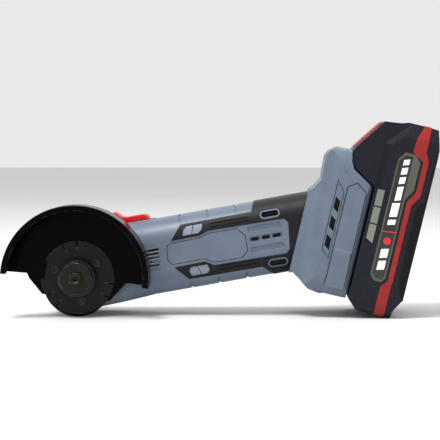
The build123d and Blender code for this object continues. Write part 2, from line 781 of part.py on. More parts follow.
def motor_end_cap():
    """Plastic cap with the two brush boxes and the rear bush's seat."""
    cap = rod_x(CAN_R, CAN_END + 0.02, CAN_END + 11.5) - rod_x(CAN_R - 1.8, CAN_END - 1, CAN_END + 8.5)
    cap += rod_x(5.4, CAN_END + 6.6, CAN_END + 9)
    cap -= rod_x(3.7 + 0.02, CAN_END + 6.5, CAN_END + 10.5)
    cap -= rod_x(4.9, CAN_END - 1, CAN_END + 6.6)
    for side in (-1, 1):
        box = block((CAN_END + 0.05, CAN_END + 6.2), sorted((side * 5.6, side * 16.5)), (-3.4, 3.4))
        hole = block((CAN_END + 1.0, CAN_END + 5.2), sorted((side * 4.8, side * 15.2)), (-2.2, 2.2))
        cap = cap + box - hole
    return cap


def motor_rear_bush():
    """Sintered bush in the end cap."""
    bush = rod_x(3.7, CAN_END + 6.55, CAN_END + 10.45)
    return bush - rod_x(SHAFT_R + RUN_GAP, 0, 150)


def brushes():
    """Two carbon brushes."""
    return group([
        block((CAN_END + 1.2, CAN_END + 5.0), sorted((side * 4.9, side * 10.4)), (-2.0, 2.0))
        for side in (-1, 1)
    ])


def brush_springs():
    """A spring behind each brush, drawn as a bent leaf."""
    leaves = []
    for side in (-1, 1):
        path = FilletPolyline(
            (CAN_END + 3.1, side * 10.7, -1.2), (CAN_END + 3.1, side * 12.6, 1.4),
            (CAN_END + 3.1, side * 14.6, -1.4),
            radius=0.6
        )
        section = Plane(path @ 0, z_dir=path % 0) * Circle(0.3)
        leaves.append(sweep(section, path=path))
    return group(leaves)


# ---------------------------------------------------------------- switch
def switch_slider():
    """Red thumb slide with a raised front lip and a ribbed top."""
    side = outline(
        (26.0, 22.3), (26.0, 33.0), (26.8, 35.0), (28.0, 34.4), (31.2, 31.4), (34.0, 30.6),
        (44.6, 30.6), (46.4, 30.0), (47.2, 28.6), (47.2, 26.4), (46.4, 25.2), (46.4, 22.3)
    )
    grip = side_prism(side, -5.9, 5.9)
    cover = side_prism(outline(
        (26.0, 27.3), (26.0, 33.0), (26.8, 35.0), (28.0, 34.4), (31.2, 31.4), (34.0, 30.6),
        (44.6, 30.6), (46.8, 29.8), (47.8, 28.4), (47.8, 27.3)), -8.2, 8.2)
    shape = grip + cover
    for x in range(7):
        shape -= Pos(34.6 + 1.5 * x, 0, 30.9) * Rot(90, 0, 0) * Cylinder(0.5, 13)
    return shape


def switch_rod():
    """Rod that carries the slide's motion back to the switch, ending in a drop arm."""
    bar = block((38.0, 115.8), (-2.0, 2.0), (19.6, 22.0))
    foot = block((38.0, 45.0), (-2.0, 2.0), (21.9, 22.3))
    arm = block((113.2, 115.8), (-1.2, 1.2), (11.2, 19.7))
    return bar + foot + arm


def switch_unit():
    """Slide switch behind the motor, with the slot that the drop arm runs in."""
    body = block((107.8 + 2.4, 127.0), (-6.0, 6.0), (1.0, 9.6))
    cheeks = block((107.8, 117.4), (-6.0, 6.0), (9.4, 13.0)) - block((107.0, 118.0), (-1.6, 1.6), (10.6, 14))
    body += cheeks
    for y in (-4, 0, 4):
        body += block((126.9, 130.5), (y - 0.4, y + 0.4), (3.0, 7.4))
    return body


# ---------------------------------------------------------------- wiring and board
def lead(points, radius, bend):
    """An insulated wire along straight runs with round bends."""
    path = FilletPolyline(*points, radius=bend)
    return sweep(Plane(path @ 0, z_dir=path % 0) * Circle(radius), path=path)


def motor_leads():
    """Two wires from the brush boxes to the board."""
    return group([
        lead([(CAN_END + 12.0, s * 11.0, -3.0), (118.0, s * 11.0, -3.0), (129.0, s * 9.0, -9.4)], 1.1, 5.0)
        for s in (-1, 1)
    ])


def battery_leads():
    """Two wires from the board to the terminal block."""
    x, z = in_pack(147.0, 44.5)
    return group([
        lead([(136.5, y, -10.0), (142.0, y, -10.0), (x - 5.0, y, z - 1.0)], 1.1, 3.0)
        for y in (-7.0, 7.0)
    ])


def control_board():
    """Speed and protection board on the foot's floor."""
    board = block((129.5, 136.0), (-14, 14), (-12.6, -11.0))
    board += block((130.5, 135.0), (-10, -3), (-11.1, -8.0))
    board += block((130.5, 135.0), (3, 10), (-11.1, -8.0))
    return board


# ---------------------------------------------------------------- battery dock
def dock_outline():
    """Side view of the dock in the battery frame."""
    return outline(
        (DOCK_BACK + 0.05, 25.4), (149.0, DOCK_BASE), (159.0, DOCK_BASE), (DOCK_FACE, 26.4),
        (DOCK_FACE, DOCK_TOP), (149.2, 104.2), (146.9, 108.8), (145.9, 115.2), (143.5, 115.6),
        (143.5, 103.1), (DOCK_BACK + 0.05, 100.0)
    )


def battery_dock():
    """Grey frame on the foot whose rails hold the battery."""
    frame = side_prism(dock_outline(), -DOCK_HALF_W, DOCK_HALF_W)
    frame &= along_x(foot_end_view(0), 120, 170)
    frame &= top_prism(dock_top_view(), 0, 130)
    frame -= pad_groove()
    frame += dock_pads()
    frame -= block((DOCK_FLOOR, 170), (-27.2, 27.2), (RAIL_BASE, 130))
    for side in (-1, 1):
        frame += block((158.4, 161.2), sorted((side * 23.2, side * 27.3)), (RAIL_BASE - 1, DOCK_TOP - 4))
    frame -= block((DOCK_FLOOR - 6, 170), (-12.4, 12.4), (RAIL_BASE + 1.0, RAIL_BASE + 15.0))
    frame -= block((DOCK_FLOOR - 6, 152), (-5, 5), (85.0, 89.5))
    return PACK_FRAME * frame


def dock_top_view():
    """The dock's chamfered corners, seen along the pack."""
    w = DOCK_HALF_W
    return outline((120, -w), (160.6, -w), (170, -w + 9.4), (170, w - 9.4), (160.6, w), (120, w))


def pad_outline():
    """The raised pad on each side of the dock, pointed at its top."""
    return outline((148.4, 31.0), (159.8, 31.0), (159.8, 91.5), (153.2, 96.0), (148.4, 92.6))


def pad_groove():
    """A narrow groove in the dock's sides round each pad."""
    w = DOCK_HALF_W
    rim = offset(pad_outline(), amount=0.6, kind=Kind.INTERSECTION)
    return side_prism(rim, -w - 2, w + 2) - block((100, 220), (0.8 - w, w - 0.8), (0, 160))


def dock_pads():
    """Both raised pads, bevelled at their long edges, with a crease low down."""
    w = DOCK_HALF_W
    end = [(w + 0.1, 30), (w + 1.1, 53.4), (w + 0.55, 55.0), (w + 0.55, 97)]
    top = [(148.0, w - 0.2), (149.1, w + 1.2), (159.1, w + 1.2), (160.2, w - 0.2)]
    pads = side_prism(pad_outline(), -w - 2, w + 2)
    pads &= along_x(outline(*[(-y, h) for y, h in end], *reversed(end)), 140, 170)
    return pads & top_prism(outline(*[(x, -y) for x, y in top], *reversed(top)), 20, 110)


def terminal_block():
    """Plastic block that carries the blades."""
    body = block((DOCK_FLOOR - 5.5, DOCK_FLOOR + 3.0), (-12.2, 12.2), (RAIL_BASE + 1.2, RAIL_BASE + 5.0))
    body += block((DOCK_FLOOR - 5.5, DOCK_FLOOR - 1.0), (-12.2, 12.2), (RAIL_BASE + 4.8, RAIL_BASE + 14.8))
    for y in BLADES:
        body -= block((DOCK_FLOOR - 0.6, DOCK_FLOOR + 2.6), (y - 0.45, y + 0.45), (RAIL_BASE, RAIL_BASE + 6))
    return PACK_FRAME * body


def terminal_blades():
    """Four tinned blades that point up into the pack."""
    return PACK_FRAME * group([
        block((DOCK_FLOOR - 0.5, DOCK_FLOOR + 2.5), (y - 0.4, y + 0.4), (RAIL_BASE + 1.4, RAIL_BASE + 13.0))
        for y in BLADES
    ])


# ---------------------------------------------------------------- battery pack
def pack_end_view(inset):
    """The pack seen along its depth."""
    tall = PACK_TOP - PACK_BASE - 2 * inset
    view = Pos(0, (PACK_TOP + PACK_BASE) / 2) * RectangleRounded(2 * (PACK_HALF_W - inset), tall, 7.5 - inset)
    hips = outline(
        (-PACK_HALF_W - 1, 0), (PACK_HALF_W + 1, 0), (PACK_HALF_W + 1, HIP - 1.6),
        (PACK_HALF_W - 7.0, PACK_TOP + 2), (7.0 - PACK_HALF_W, PACK_TOP + 2), (-PACK_HALF_W - 1, HIP - 1.6)
    )
    return view & offset(hips, amount=-inset, kind=Kind.INTERSECTION)


def pack_outline():
    """Side view of the whole pack in the battery frame."""
    return outline(
        (163.0, 28.0), (170.5, PACK_BASE + 0.2), (184.0, PACK_BASE), (PACK_TOE, PACK_BASE + 0.3),
        (192.2, 26.4), (196.5, 33.4), (PACK_FACE, 126.5), (193.8, 138.9), (184.7, PACK_TOP),
        (175.6, PACK_TOP), (170.8, 138.0), (160.8, 136.8), (146.6, 116.7), (146.6, 115.8),
        (147.5, 109.3), (149.8, 105.0), (163.0, 96.9)
    )


def pack_shape(inset=0.0):
    """The pack's outer solid."""
    side = pack_outline()
    if inset:
        side = offset(side, amount=-inset, kind=Kind.INTERSECTION)
    shape = side_prism(side, -PACK_HALF_W + inset, PACK_HALF_W - inset)
    return shape & along_x(pack_end_view(inset), 140, 210)


def shoulder_cutter(grow=0.0):
    """What is cut from each side above and before the pack's bevelled shoulder."""
    near = outline((140, 96.9), (163.9, 96.9), (163.9, 124.0), (179.0, 140.4), (179.0, 152), (140, 152))
    far = outline((140, 96.9), (168.5, 96.9), (168.5, 124.4), (183.5, 140.6), (183.5, 152), (140, 152))
    planes = [Plane(origin=(0, -y, 0), x_dir=(1, 0, 0), z_dir=(0, -1, 0)) for y in (UPPER_HALF_W, 37.6)]
    side = loft([planes[0] * near, planes[1] * far], ruled=True)
    side += side_prism(far, -60, -37.59)
    side = Pos(grow, grow, -grow) * side
    return side + mirror_y(side)


def half_space(low, high):
    """Everything between two depths."""
    return block((low, high), (-60, 60), (0, 160))


def stripe_outline():
    """Side view of the red band, jogging round the label."""
    return outline(
        (181.0, 15.0), (187.6, 15.0), (187.6, 40.5), (188.0, 43.5), (188.0, 90.5), (192.1, 97.0),
        (192.1, 119.0), (189.4, 124.2), (189.4, 145.0), (185.8, 145.0), (185.0, 139.5), (181.8, 131.0),
        (181.2, 122.4), (188.6, 117.6), (188.6, 99.0),
        (184.6, 92.6), (184.6, 42.6), (181.0, 38.6)
    )


def bumper_outline():
    """Side view of the black bumper outside the band."""
    return outline(
        (194.9, 33.0), (204, 33.0), (204, 124.0), (195.2, 124.0), (195.2, 96.0), (191.2, 89.6), (191.2, 45.0)
    )


def case_bosses(low, high):
    """The posts that the case screws run into, inside the walls."""
    posts = joined([along_x(Pos(y, h) * Circle(CASE_BOSS_R), low, high) for y, h in CASE_SCREWS])
    return posts & (pack_shape(0.75 * WALL) - shoulder_cutter(1.5))


def battery_lower_case():
    """Outer tub of the pack."""
    shell = (pack_shape() - shoulder_cutter()) & half_space(PACK_SPLIT, 210)
    inner = pack_shape(WALL) & half_space(PACK_SPLIT - 1, 210)
    shell -= inner - shoulder_cutter(2.0)
    skin = pack_shape() - pack_shape(0.9)
    shell -= side_prism(stripe_outline(), -60, 60) & skin
    shell -= side_prism(bumper_outline(), -60, 60) & skin
    shell -= label_pocket(0.0)
    shell += case_bosses(PACK_SPLIT, 176.2)
    for y, h in CASE_SCREWS:
        shell -= along_x(Pos(y, h) * Circle(1.35), 160, 175.4)
    return PACK_FRAME * shell


def battery_upper_case():
    """Inner half of the pack, with the rails and the button's seat."""
    shell = (pack_shape() - shoulder_cutter()) & half_space(140, PACK_SPLIT - 0.04)
    cavity = pack_shape(WALL) & half_space(166.0, PACK_SPLIT + 1)
    shell -= cavity - shoulder_cutter(2.0)
    stem = block((155.0, 166.0), (-22.8, 22.8), (RAIL_BASE + SLIDE_GAP, 106))
    head = block((DOCK_FLOOR + SLIDE_GAP, 158.0), (-26.8, 26.8), (RAIL_BASE + SLIDE_GAP, 106))
    rails = stem + head
    neck = block((150.2, 166.0), (-26.8, 26.8), (104.0, 122.0))
    low_side = half_space(140, 164.2) & block((140, 170), (-60, 60), (97.0, 160))
    top = (shell & low_side) & block((140, 170), (-UPPER_HALF_W, UPPER_HALF_W), (90, 160))
    base = shell & half_space(163.9, PACK_SPLIT)
    shell = base + rails + top + neck.intersect(pack_shape())
    shell -= block((DOCK_FLOOR - 1, 156.0), (-12.8, 12.8), (RAIL_BASE, RAIL_BASE + 5.6))
    shell -= block((DOCK_FLOOR - 1, 155.0), (-11.4, 11.4), (RAIL_BASE, RAIL_BASE + 15.0))
    shell -= button_well()
    shell -= block((165.7, 170.5), (-40, -36.6), (62.8, 96.3))
    shell -= block((153.2, 167.0), (-20.4, 20.4), (RAIL_BASE + 18.0, 103.0))
    shell += case_bosses(165.9, PACK_SPLIT - 0.04)
    for y, h in CASE_SCREWS:
        shell -= along_x(Pos(y, h) * Circle(2.45), 140, 166.45)
        shell -= along_x(Pos(y, h) * Circle(1.35), 160, 180)
    return PACK_FRAME * shell


def button_frame():
    """Frame on the sloping top face of the pack: Z out of the slope, X up it."""
    return Pos(155.5, 0, 129.3) * Rot(0, BUTTON_TILT - 90, 0)


def button_well():
    """Recess for the release button."""
    return button_frame() * block((BUTTON_LOW - 0.3, BUTTON_HIGH + 0.3), (-16.3, 16.3), (-5.2, 8))


def latch_button():
    """Red release button on the sloping end."""
    pad = block((BUTTON_LOW, BUTTON_HIGH), (-16.0, 16.0), (-1.6, 0.9))
    pad = fillet(pad.edges().group_by(Axis.Z)[-1], 0.7)
    for n in range(7):
        pad -= block((-9.4 + 2.2 * n, -8.6 + 2.2 * n), (-12, 12), (0.5, 2))
    return PACK_FRAME * button_frame() * pad


def latch_spring():
    """Spring under the release button."""
    coils = Helix(pitch=1.1, height=2.6, radius=3.0)
    wire = sweep(Plane(coils @ 0, z_dir=coils % 0) * Circle(0.28), path=coils)
    return PACK_FRAME * button_frame() * Pos(-1, 0, -4.7) * wire


def label_outline(grow=0.0):
    """The label's frame on each side of the pack."""
    plain = outline(
        (173.4, 45.0), (176.4, 41.2), (181.0, 41.2), (183.4, 44.2), (183.4, 93.2), (187.4, 99.6),
        (187.4, 117.0), (183.6, 121.4), (177.2, 121.4), (173.4, 116.4)
    )
    return offset(plain, amount=grow, kind=Kind.INTERSECTION) if grow else plain


def label_pocket(grow):
    """Shallow recess for a label on each side."""
    both = side_prism(label_outline(grow), -60, 60)
    return both - block((100, 220), (-PACK_HALF_W + 0.8, PACK_HALF_W - 0.8), (0, 160))


def battery_label():
    """Plain plates in the two label recesses."""
    plate = side_prism(label_outline(-0.15), -PACK_HALF_W - 0.1, PACK_HALF_W + 0.1)
    plate -= block((100, 220), (-PACK_HALF_W + 0.8, PACK_HALF_W - 0.8), (0, 160))
    return PACK_FRAME * group(plate.solids())


def battery_stripe():
    """Red band round the pack."""
    band = pack_shape(-0.3) - pack_shape(0.88)
    return PACK_FRAME * (band & side_prism(offset(stripe_outline(), amount=-0.1), -60, 60))


def battery_bumper():
    """Black rubber bumper on the outer face."""
    skin = pack_shape(-0.5) - pack_shape(0.88)
    return PACK_FRAME * (skin & side_prism(offset(bumper_outline(), amount=-0.03), -60, 60))


def charge_gauge():
    """Three light windows on the disc side."""
    bars = []
    for low, high in ((63.0, 74.4), (75.2, 85.1), (85.9, 96.0)):
        slant = 2.5 if low < 64 else 0
        bar = outline((165.9, low + slant), (170.3, low), (170.3, high), (165.9, high))
        bars.append(side_prism(bar, -PACK_HALF_W - 0.1, -PACK_HALF_W + 0.85))
    return PACK_FRAME * group(bars)


def cell_places():
    """Height of each cell in the pack."""
    return [FIRST_CELL + CELL_PITCH * n for n in range(5)]


def battery_cells():
    """Five lithium cells in a row across the pack."""
    return PACK_FRAME * group([spin_disc(CELL_R, 32.4, -32.4, CELL_DEPTH, h) for h in cell_places()])


def cell_holder():
    """Plastic cradle under the cells."""
    tray = block((173.6, 182.0), (-30.0, 30.0), (29.0, 130.0))
    for h in cell_places():
        tray -= spin_disc(CELL_R + 0.15, 40, -40, CELL_DEPTH, h)
    for y, h in CASE_SCREWS:
        tray -= along_x(Pos(y, h) * Circle(CASE_BOSS_R + 0.3), 170, 176.6)
    return PACK_FRAME * tray


def cell_straps():
    """Nickel strips that join the cells at both ends."""
    strips = []
    places = cell_places()
    for side, pairs in ((-1, (0, 2)), (1, (1, 3))):
        for first in pairs:
            low, high = places[first] - 4, places[first + 1] + 4
            strips.append(block((180.4, 186.4), sorted((side * 32.45, side * 32.7)), (low, high)))
    return PACK_FRAME * group(strips)


def battery_board():
    """Protection board over the cells."""
    board = block((168.6, 170.2), (-20, 20), (40, 110))
    board += block((166.6, 168.7), (-8, 8), (60, 72))
    return PACK_FRAME * board


def battery_contacts():
    """Fork contacts that take the tool's blades."""
    forks = []
    for y in BLADES:
        for side in (-1, 1):
            across = sorted((y + side * 0.5, y + side * 1.0))
            forks.append(block((DOCK_FLOOR + 0.8, 154.6), across, (RAIL_BASE + 6.4, RAIL_BASE + 14.9)))
    return PACK_FRAME * group(forks)


def battery_case_screws():
    """Screws up through the rails side that close the pack."""
    screws = []
    for y, h in CASE_SCREWS:
        head = Pos(165.6, y, h) * Rot(0, 90, 0) * Cylinder(2.4, 1.6)
        shank = Pos(170.6, y, h) * Rot(0, 90, 0) * Cylinder(1.3, 8.6)
        screws.append(head + shank)
    return PACK_FRAME * group(screws)


# ---------------------------------------------------------------- placing and writing
def finish_frame():
    """Stand the tool on the guard's lobe and the pack's lowest corner, +Z up, centred over the origin."""
    corner_x, corner_z = in_pack(PACK_TOE, PACK_BASE + 0.3)
    lobe_x, lobe_z = lobe_centre()
    dx = corner_x - lobe_x
    dz = corner_z - lobe_z
    reach = math.hypot(dx, dz)
    rise = math.degrees(math.atan2(dz, dx) + math.asin(GUARD_LOBE_R / reach))
    return Rot(0, rise, 0)


NODE_MAKERS = (
    gear_case, gear_case_cover, gear_case_screws, spindle, crown_gear, gear_hub, motor_pinion,
    retainer_plate, retainer_screws, guard, inner_flange, outer_flange, clamp_screw, lock_button, lock_spring,
    left_housing, right_housing, housing_screws, battery_dock, terminal_block, terminal_blades,
    switch_slider, switch_rod, switch_unit, motor_can, motor_magnets, motor_end_cap, motor_rear_bush,
    brushes, brush_springs, rotor_shaft, rotor_core, rotor_windings, commutator, cooling_fan,
    control_board, motor_leads, battery_leads,
    battery_lower_case, battery_upper_case, battery_stripe, battery_bumper, battery_label, charge_gauge,
    latch_button, latch_spring, battery_cells, cell_holder, cell_straps, battery_board, battery_contacts,
    battery_case_screws,
)


def bearing_nodes():
    """The outer and inner rings of the three ball bearings."""
    front = bearing(11.0, SPINDLE_R + 0.02, 19.8, 12.9, 1.9)
    rear = bearing(7.0, 2.52, -COVER_BACK + 5.2, -COVER_BACK + 0.9, 1.2)
    motor = [turned_to_x(ring, 18.4) for ring in bearing(8.0, SHAFT_R + 0.02, 2.4, -2.4, 1.4)]
    names = ("spindle_front_bearing", "spindle_rear_bearing", "motor_front_bearing")
    for name, (outer, inner) in zip(names, (front, rear, motor)):
        yield name + "_outer", outer
        yield name + "_inner", inner


def all_nodes():
    """Every node's name and shape."""
    for maker in NODE_MAKERS:
        yield maker.__name__, maker()
    yield "left_grip", soft_grip(-1)
    yield "right_grip", soft_grip(1)
    yield from bearing_nodes()


def write_parts():
    """Place every node, centre the whole tool over the origin and write one STEP file each."""
    os.makedirs("parts", exist_ok=True)
    stand = finish_frame()
    placed = {name: stand * shape for name, shape in all_nodes()}
    boxes = [shape.bounding_box() for shape in placed.values()]
    low = [min(tuple(b.min)[n] for b in boxes) for n in range(3)]
    high = [max(tuple(b.max)[n] for b in boxes) for n in range(3)]
    shift = Pos(-(low[0] + high[0]) / 2, -(low[1] + high[1]) / 2, -low[2])
    for name, shape in placed.items():
        export_step(shift * shape, f"parts/{name}.step")
    print("size", [h - l for l, h in zip(low, high)])
    print("place", shift * stand)


write_parts()
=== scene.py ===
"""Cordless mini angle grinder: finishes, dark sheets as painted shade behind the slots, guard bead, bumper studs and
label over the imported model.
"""
import json
import logging
import math
from dataclasses import dataclass, field
from enum import Enum
from typing import Any, Callable, Iterable

import bmesh
import bpy
from mathutils import Matrix, Vector


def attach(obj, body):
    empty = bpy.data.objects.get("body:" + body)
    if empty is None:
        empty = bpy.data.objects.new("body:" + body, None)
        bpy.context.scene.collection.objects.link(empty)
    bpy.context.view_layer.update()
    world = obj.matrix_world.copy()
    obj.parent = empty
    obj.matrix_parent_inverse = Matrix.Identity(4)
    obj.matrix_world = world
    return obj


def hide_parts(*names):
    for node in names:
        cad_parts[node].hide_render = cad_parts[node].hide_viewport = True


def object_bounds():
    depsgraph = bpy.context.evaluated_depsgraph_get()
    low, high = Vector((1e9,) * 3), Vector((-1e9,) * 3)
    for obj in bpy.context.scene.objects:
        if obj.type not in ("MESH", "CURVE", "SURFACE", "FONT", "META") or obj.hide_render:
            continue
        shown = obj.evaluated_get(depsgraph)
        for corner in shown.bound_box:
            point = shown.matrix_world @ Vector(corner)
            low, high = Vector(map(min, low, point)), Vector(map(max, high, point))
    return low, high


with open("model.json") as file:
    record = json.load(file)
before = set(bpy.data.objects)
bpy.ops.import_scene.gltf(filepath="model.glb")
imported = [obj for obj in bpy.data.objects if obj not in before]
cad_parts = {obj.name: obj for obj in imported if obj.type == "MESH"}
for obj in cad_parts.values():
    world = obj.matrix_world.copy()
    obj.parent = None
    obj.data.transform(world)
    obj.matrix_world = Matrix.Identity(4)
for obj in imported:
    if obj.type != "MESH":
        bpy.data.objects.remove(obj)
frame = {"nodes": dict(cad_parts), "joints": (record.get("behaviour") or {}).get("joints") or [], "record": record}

MM = 0.001
CAD_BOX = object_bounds()
LOG = logging.getLogger("angle_grinder")

Colour = tuple[float, float, float]
Outline = list[tuple[float, float]]


def linear(red: float, green: float, blue: float) -> Colour:
    """Turns a colour as seen, 0 to 255, into the linear values that shaders use.

    Args:
        red: Red, 0 to 255.
        green: Green, 0 to 255.
        blue: Blue, 0 to 255.

    Returns:
        The three linear values, 0 to 1.
    """
    def one(seen: float) -> float:
        """Converts one channel."""
        share = seen / 255
        return share / 12.92 if share <= 0.04045 else ((share + 0.055) / 1.055) ** 2.4
    return one(red), one(green), one(blue)


# ------------------------------------------------------------------ axes
@dataclass(frozen=True)
class Axes:
    """A point in the model and the directions of its own x, y and z."""

    origin: Vector
    x: Vector
    y: Vector
    z: Vector

    def matrix(self) -> Matrix:
        """Gives the matrix from these axes, in millimetres, to the model, in metres."""
        turn = Matrix((self.x, self.y, self.z)).transposed().to_4x4()
        return Matrix.Translation(self.origin) @ turn @ Matrix.Scale(MM, 4)

    def at(self, x: float, y: float, z: float) -> Vector:
        """Gives the model's point for millimetres along these axes."""
        return self.origin + (self.x * x + self.y * y + self.z * z) * MM


def joint(name: str) -> dict[str, Any]:
    """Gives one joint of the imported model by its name."""
    return next(one for one in frame["joints"] if one["name"] == name)


SPINDLE = Vector(joint("spindle_spin")["pos_m"])
SPINDLE_WAY = Vector(joint("spindle_spin")["axis"])
HANDLE_WAY = Vector(joint("motor_spin")["axis"])
PACK_WAY = Vector(joint("battery_slide")["axis"])
TOOL = Axes(SPINDLE, HANDLE_WAY, SPINDLE_WAY, HANDLE_WAY.cross(SPINDLE_WAY))
PACK = Axes(SPINDLE, SPINDLE_WAY.cross(PACK_WAY), SPINDLE_WAY, PACK_WAY)


# ------------------------------------------------------------------ shader maths
class Value:
    """A number carried by a shader socket, which Python's operators work on."""

    def __init__(self, shader: "Shader", socket: bpy.types.NodeSocket) -> None:
        """Keeps the socket and the shader it belongs to."""
        self.shader = shader
        self.socket = socket

    def __add__(self, other: "Number") -> "Value":
        """Adds."""
        return self.shader.maths("ADD", self, other)

    def __sub__(self, other: "Number") -> "Value":
        """Subtracts."""
        return self.shader.maths("SUBTRACT", self, other)

    def __rsub__(self, other: "Number") -> "Value":
        """Subtracts from a plain number."""
        return self.shader.maths("SUBTRACT", other, self)

    def __mul__(self, other: "Number") -> "Value":
        """Multiplies."""
        return self.shader.maths("MULTIPLY", self, other)

    def __truediv__(self, other: "Number") -> "Value":
        """Divides."""
        return self.shader.maths("DIVIDE", self, other)

    def __pow__(self, other: "Number") -> "Value":
        """Raises to a power."""
        return self.shader.maths("POWER", self, other)

    __radd__ = __add__
    __rmul__ = __mul__

    def rise(self, low: float, high: float) -> "Value":
        """Goes smoothly from 0 at low to 1 at high.

        Args:
            low: The value that gives 0.
            high: The value that gives 1.

        Returns:
            The eased share.
        """
        return self.shader.read("ShaderNodeMapRange", {"interpolation_type": "SMOOTHSTEP"},
                                {"Value": self, "From Min": low, "From Max": high})

    def near(self, middle: float, half: float) -> "Value":
        """Gives 1 within half of the middle and 0 beyond."""
        gap = self.shader.maths("ABSOLUTE", self - middle)
        return self.shader.maths("LESS_THAN", gap, half)


Number = Value | float

CORNER_LEAN = (0.015, 0.2)
# Patches where the corners are lightened: rubbed wear, and on the guard and the flange a painted highlight.
EDGE_WEAR_AND_HIGHLIGHT_PATCH = (0.42, 0.62)
# Painted shade: how far ambient occlusion darkens seams and grooves, and how dark they get.
RECESS_SHADE_RISE = (0.42, 0.78)
RECESS_SHADE_DARKNESS = 0.12


class Shader:
    """One material being wired."""

    def __init__(self, name: str) -> None:
        """Starts a material with a surface shader and its object position.

        Args:
            name: The material's name.
        """
        self.material = bpy.data.materials.new(name)
        self.material.use_nodes = True
        self.tree = self.material.node_tree
        self.tree.nodes.clear()
        self.surface = self.node("ShaderNodeBsdfPrincipled")
        output = self.node("ShaderNodeOutputMaterial")
        self.tree.links.new(self.surface.outputs["BSDF"], output.inputs["Surface"])
        self.place = self.node("ShaderNodeTexCoord").outputs["Object"]

    def node(self, kind: str, settings: dict[str, Any] | None = None,
             sockets: dict[str | int, Any] | None = None) -> bpy.types.Node:
        """Adds a node.

        Args:
            kind: Blender's node type.
            settings: Its properties, set before its sockets.
            sockets: Values or links for its inputs, by name or number.

        Returns:
            The node.
        """
        made = self.tree.nodes.new(kind)
        for key, value in (settings or {}).items():
            setattr(made, key, value)
        for key, value in (sockets or {}).items():
            self.feed(made.inputs[key], value)
        return made

    def feed(self, socket: bpy.types.NodeSocket, value: Any) -> None:
        """Links a socket or sets its value.

        Args:
            socket: The input to fill.
            value: A Value, an output socket, a number or a colour.
        """
        value = value.socket if isinstance(value, Value) else value
        if isinstance(value, bpy.types.NodeSocket):
            self.tree.links.new(value, socket)
        else:
            socket.default_value = (*value, 1.0) if socket.type == "RGBA" and len(value) == 3 else value

    def read(self, kind: str, settings: dict[str, Any], sockets: dict[str | int, Any], out: str | int = 0) -> Value:
        """Adds a node and wraps one of its outputs."""
        return Value(self, self.node(kind, settings, sockets).outputs[out])

    def maths(self, operation: str, first: Number, second: Number = 0.0) -> Value:
        """Adds a Math node."""
        return self.read("ShaderNodeMath", {"operation": operation}, {0: first, 1: second})

    def along(self, way: Vector) -> Value:
        """Gives the distance along a direction from the model's origin, in metres."""
        return self.read("ShaderNodeVectorMath", {"operation": "DOT_PRODUCT"}, {0: self.place, 1: way}, "Value")

    def noise(self, size_mm: float, detail: float = 2.0, stretch: Vector | None = None) -> Value:
        """Adds soft noise.

        Args:
            size_mm: How wide one patch is.
            detail: Levels of finer noise.
            stretch: How much to shrink the pattern along x, y and z.

        Returns:
            The noise, about 0.5 on average.
        """
        place: Any = self.place
        if stretch:
            place = self.node("ShaderNodeMapping", {"vector_type": "POINT"},
                              {"Vector": place, "Scale": stretch}).outputs[0]
        return self.read("ShaderNodeTexNoise", {}, {"Vector": place, "Scale": 1 / (size_mm * MM), "Detail": detail})

    def cells(self, size_mm: float) -> Value:
        """Adds pebbled cells, 0 at each middle."""
        return self.read("ShaderNodeTexVoronoi", {"feature": "F1"},
                         {"Vector": self.place, "Scale": 1 / (size_mm * MM)})

    def seen_along_y(self, axes: Axes) -> tuple[Value, Value]:
        """Gives the distances along the axes' x and z from their origin, in metres."""
        across = self.along(axes.x) - axes.origin.dot(axes.x)
        up = self.along(axes.z) - axes.origin.dot(axes.z)
        return across, up

    def radius(self, axes: Axes) -> Value:
        """Gives the distance from the axis that runs along the axes' y, in metres."""
        across, up = self.seen_along_y(axes)
        return (across * across + up * up) ** 0.5

    def mix(self, share: Number, plain: Any, other: Any) -> bpy.types.NodeSocket:
        """Blends two colours.

        Args:
            share: How much of the other colour.
            plain: The first colour or link.
            other: The second colour or link.

        Returns:
            The blended colour's socket.
        """
        return self.node("ShaderNodeMix", {"data_type": "RGBA"}, {0: share, 6: plain, 7: other}).outputs[2]


# ------------------------------------------------------------------ finishes
def shade(colour: Colour, factor: float) -> Colour:
    """Makes a colour darker or lighter."""
    return tuple(min(1.0, part * factor) for part in colour)


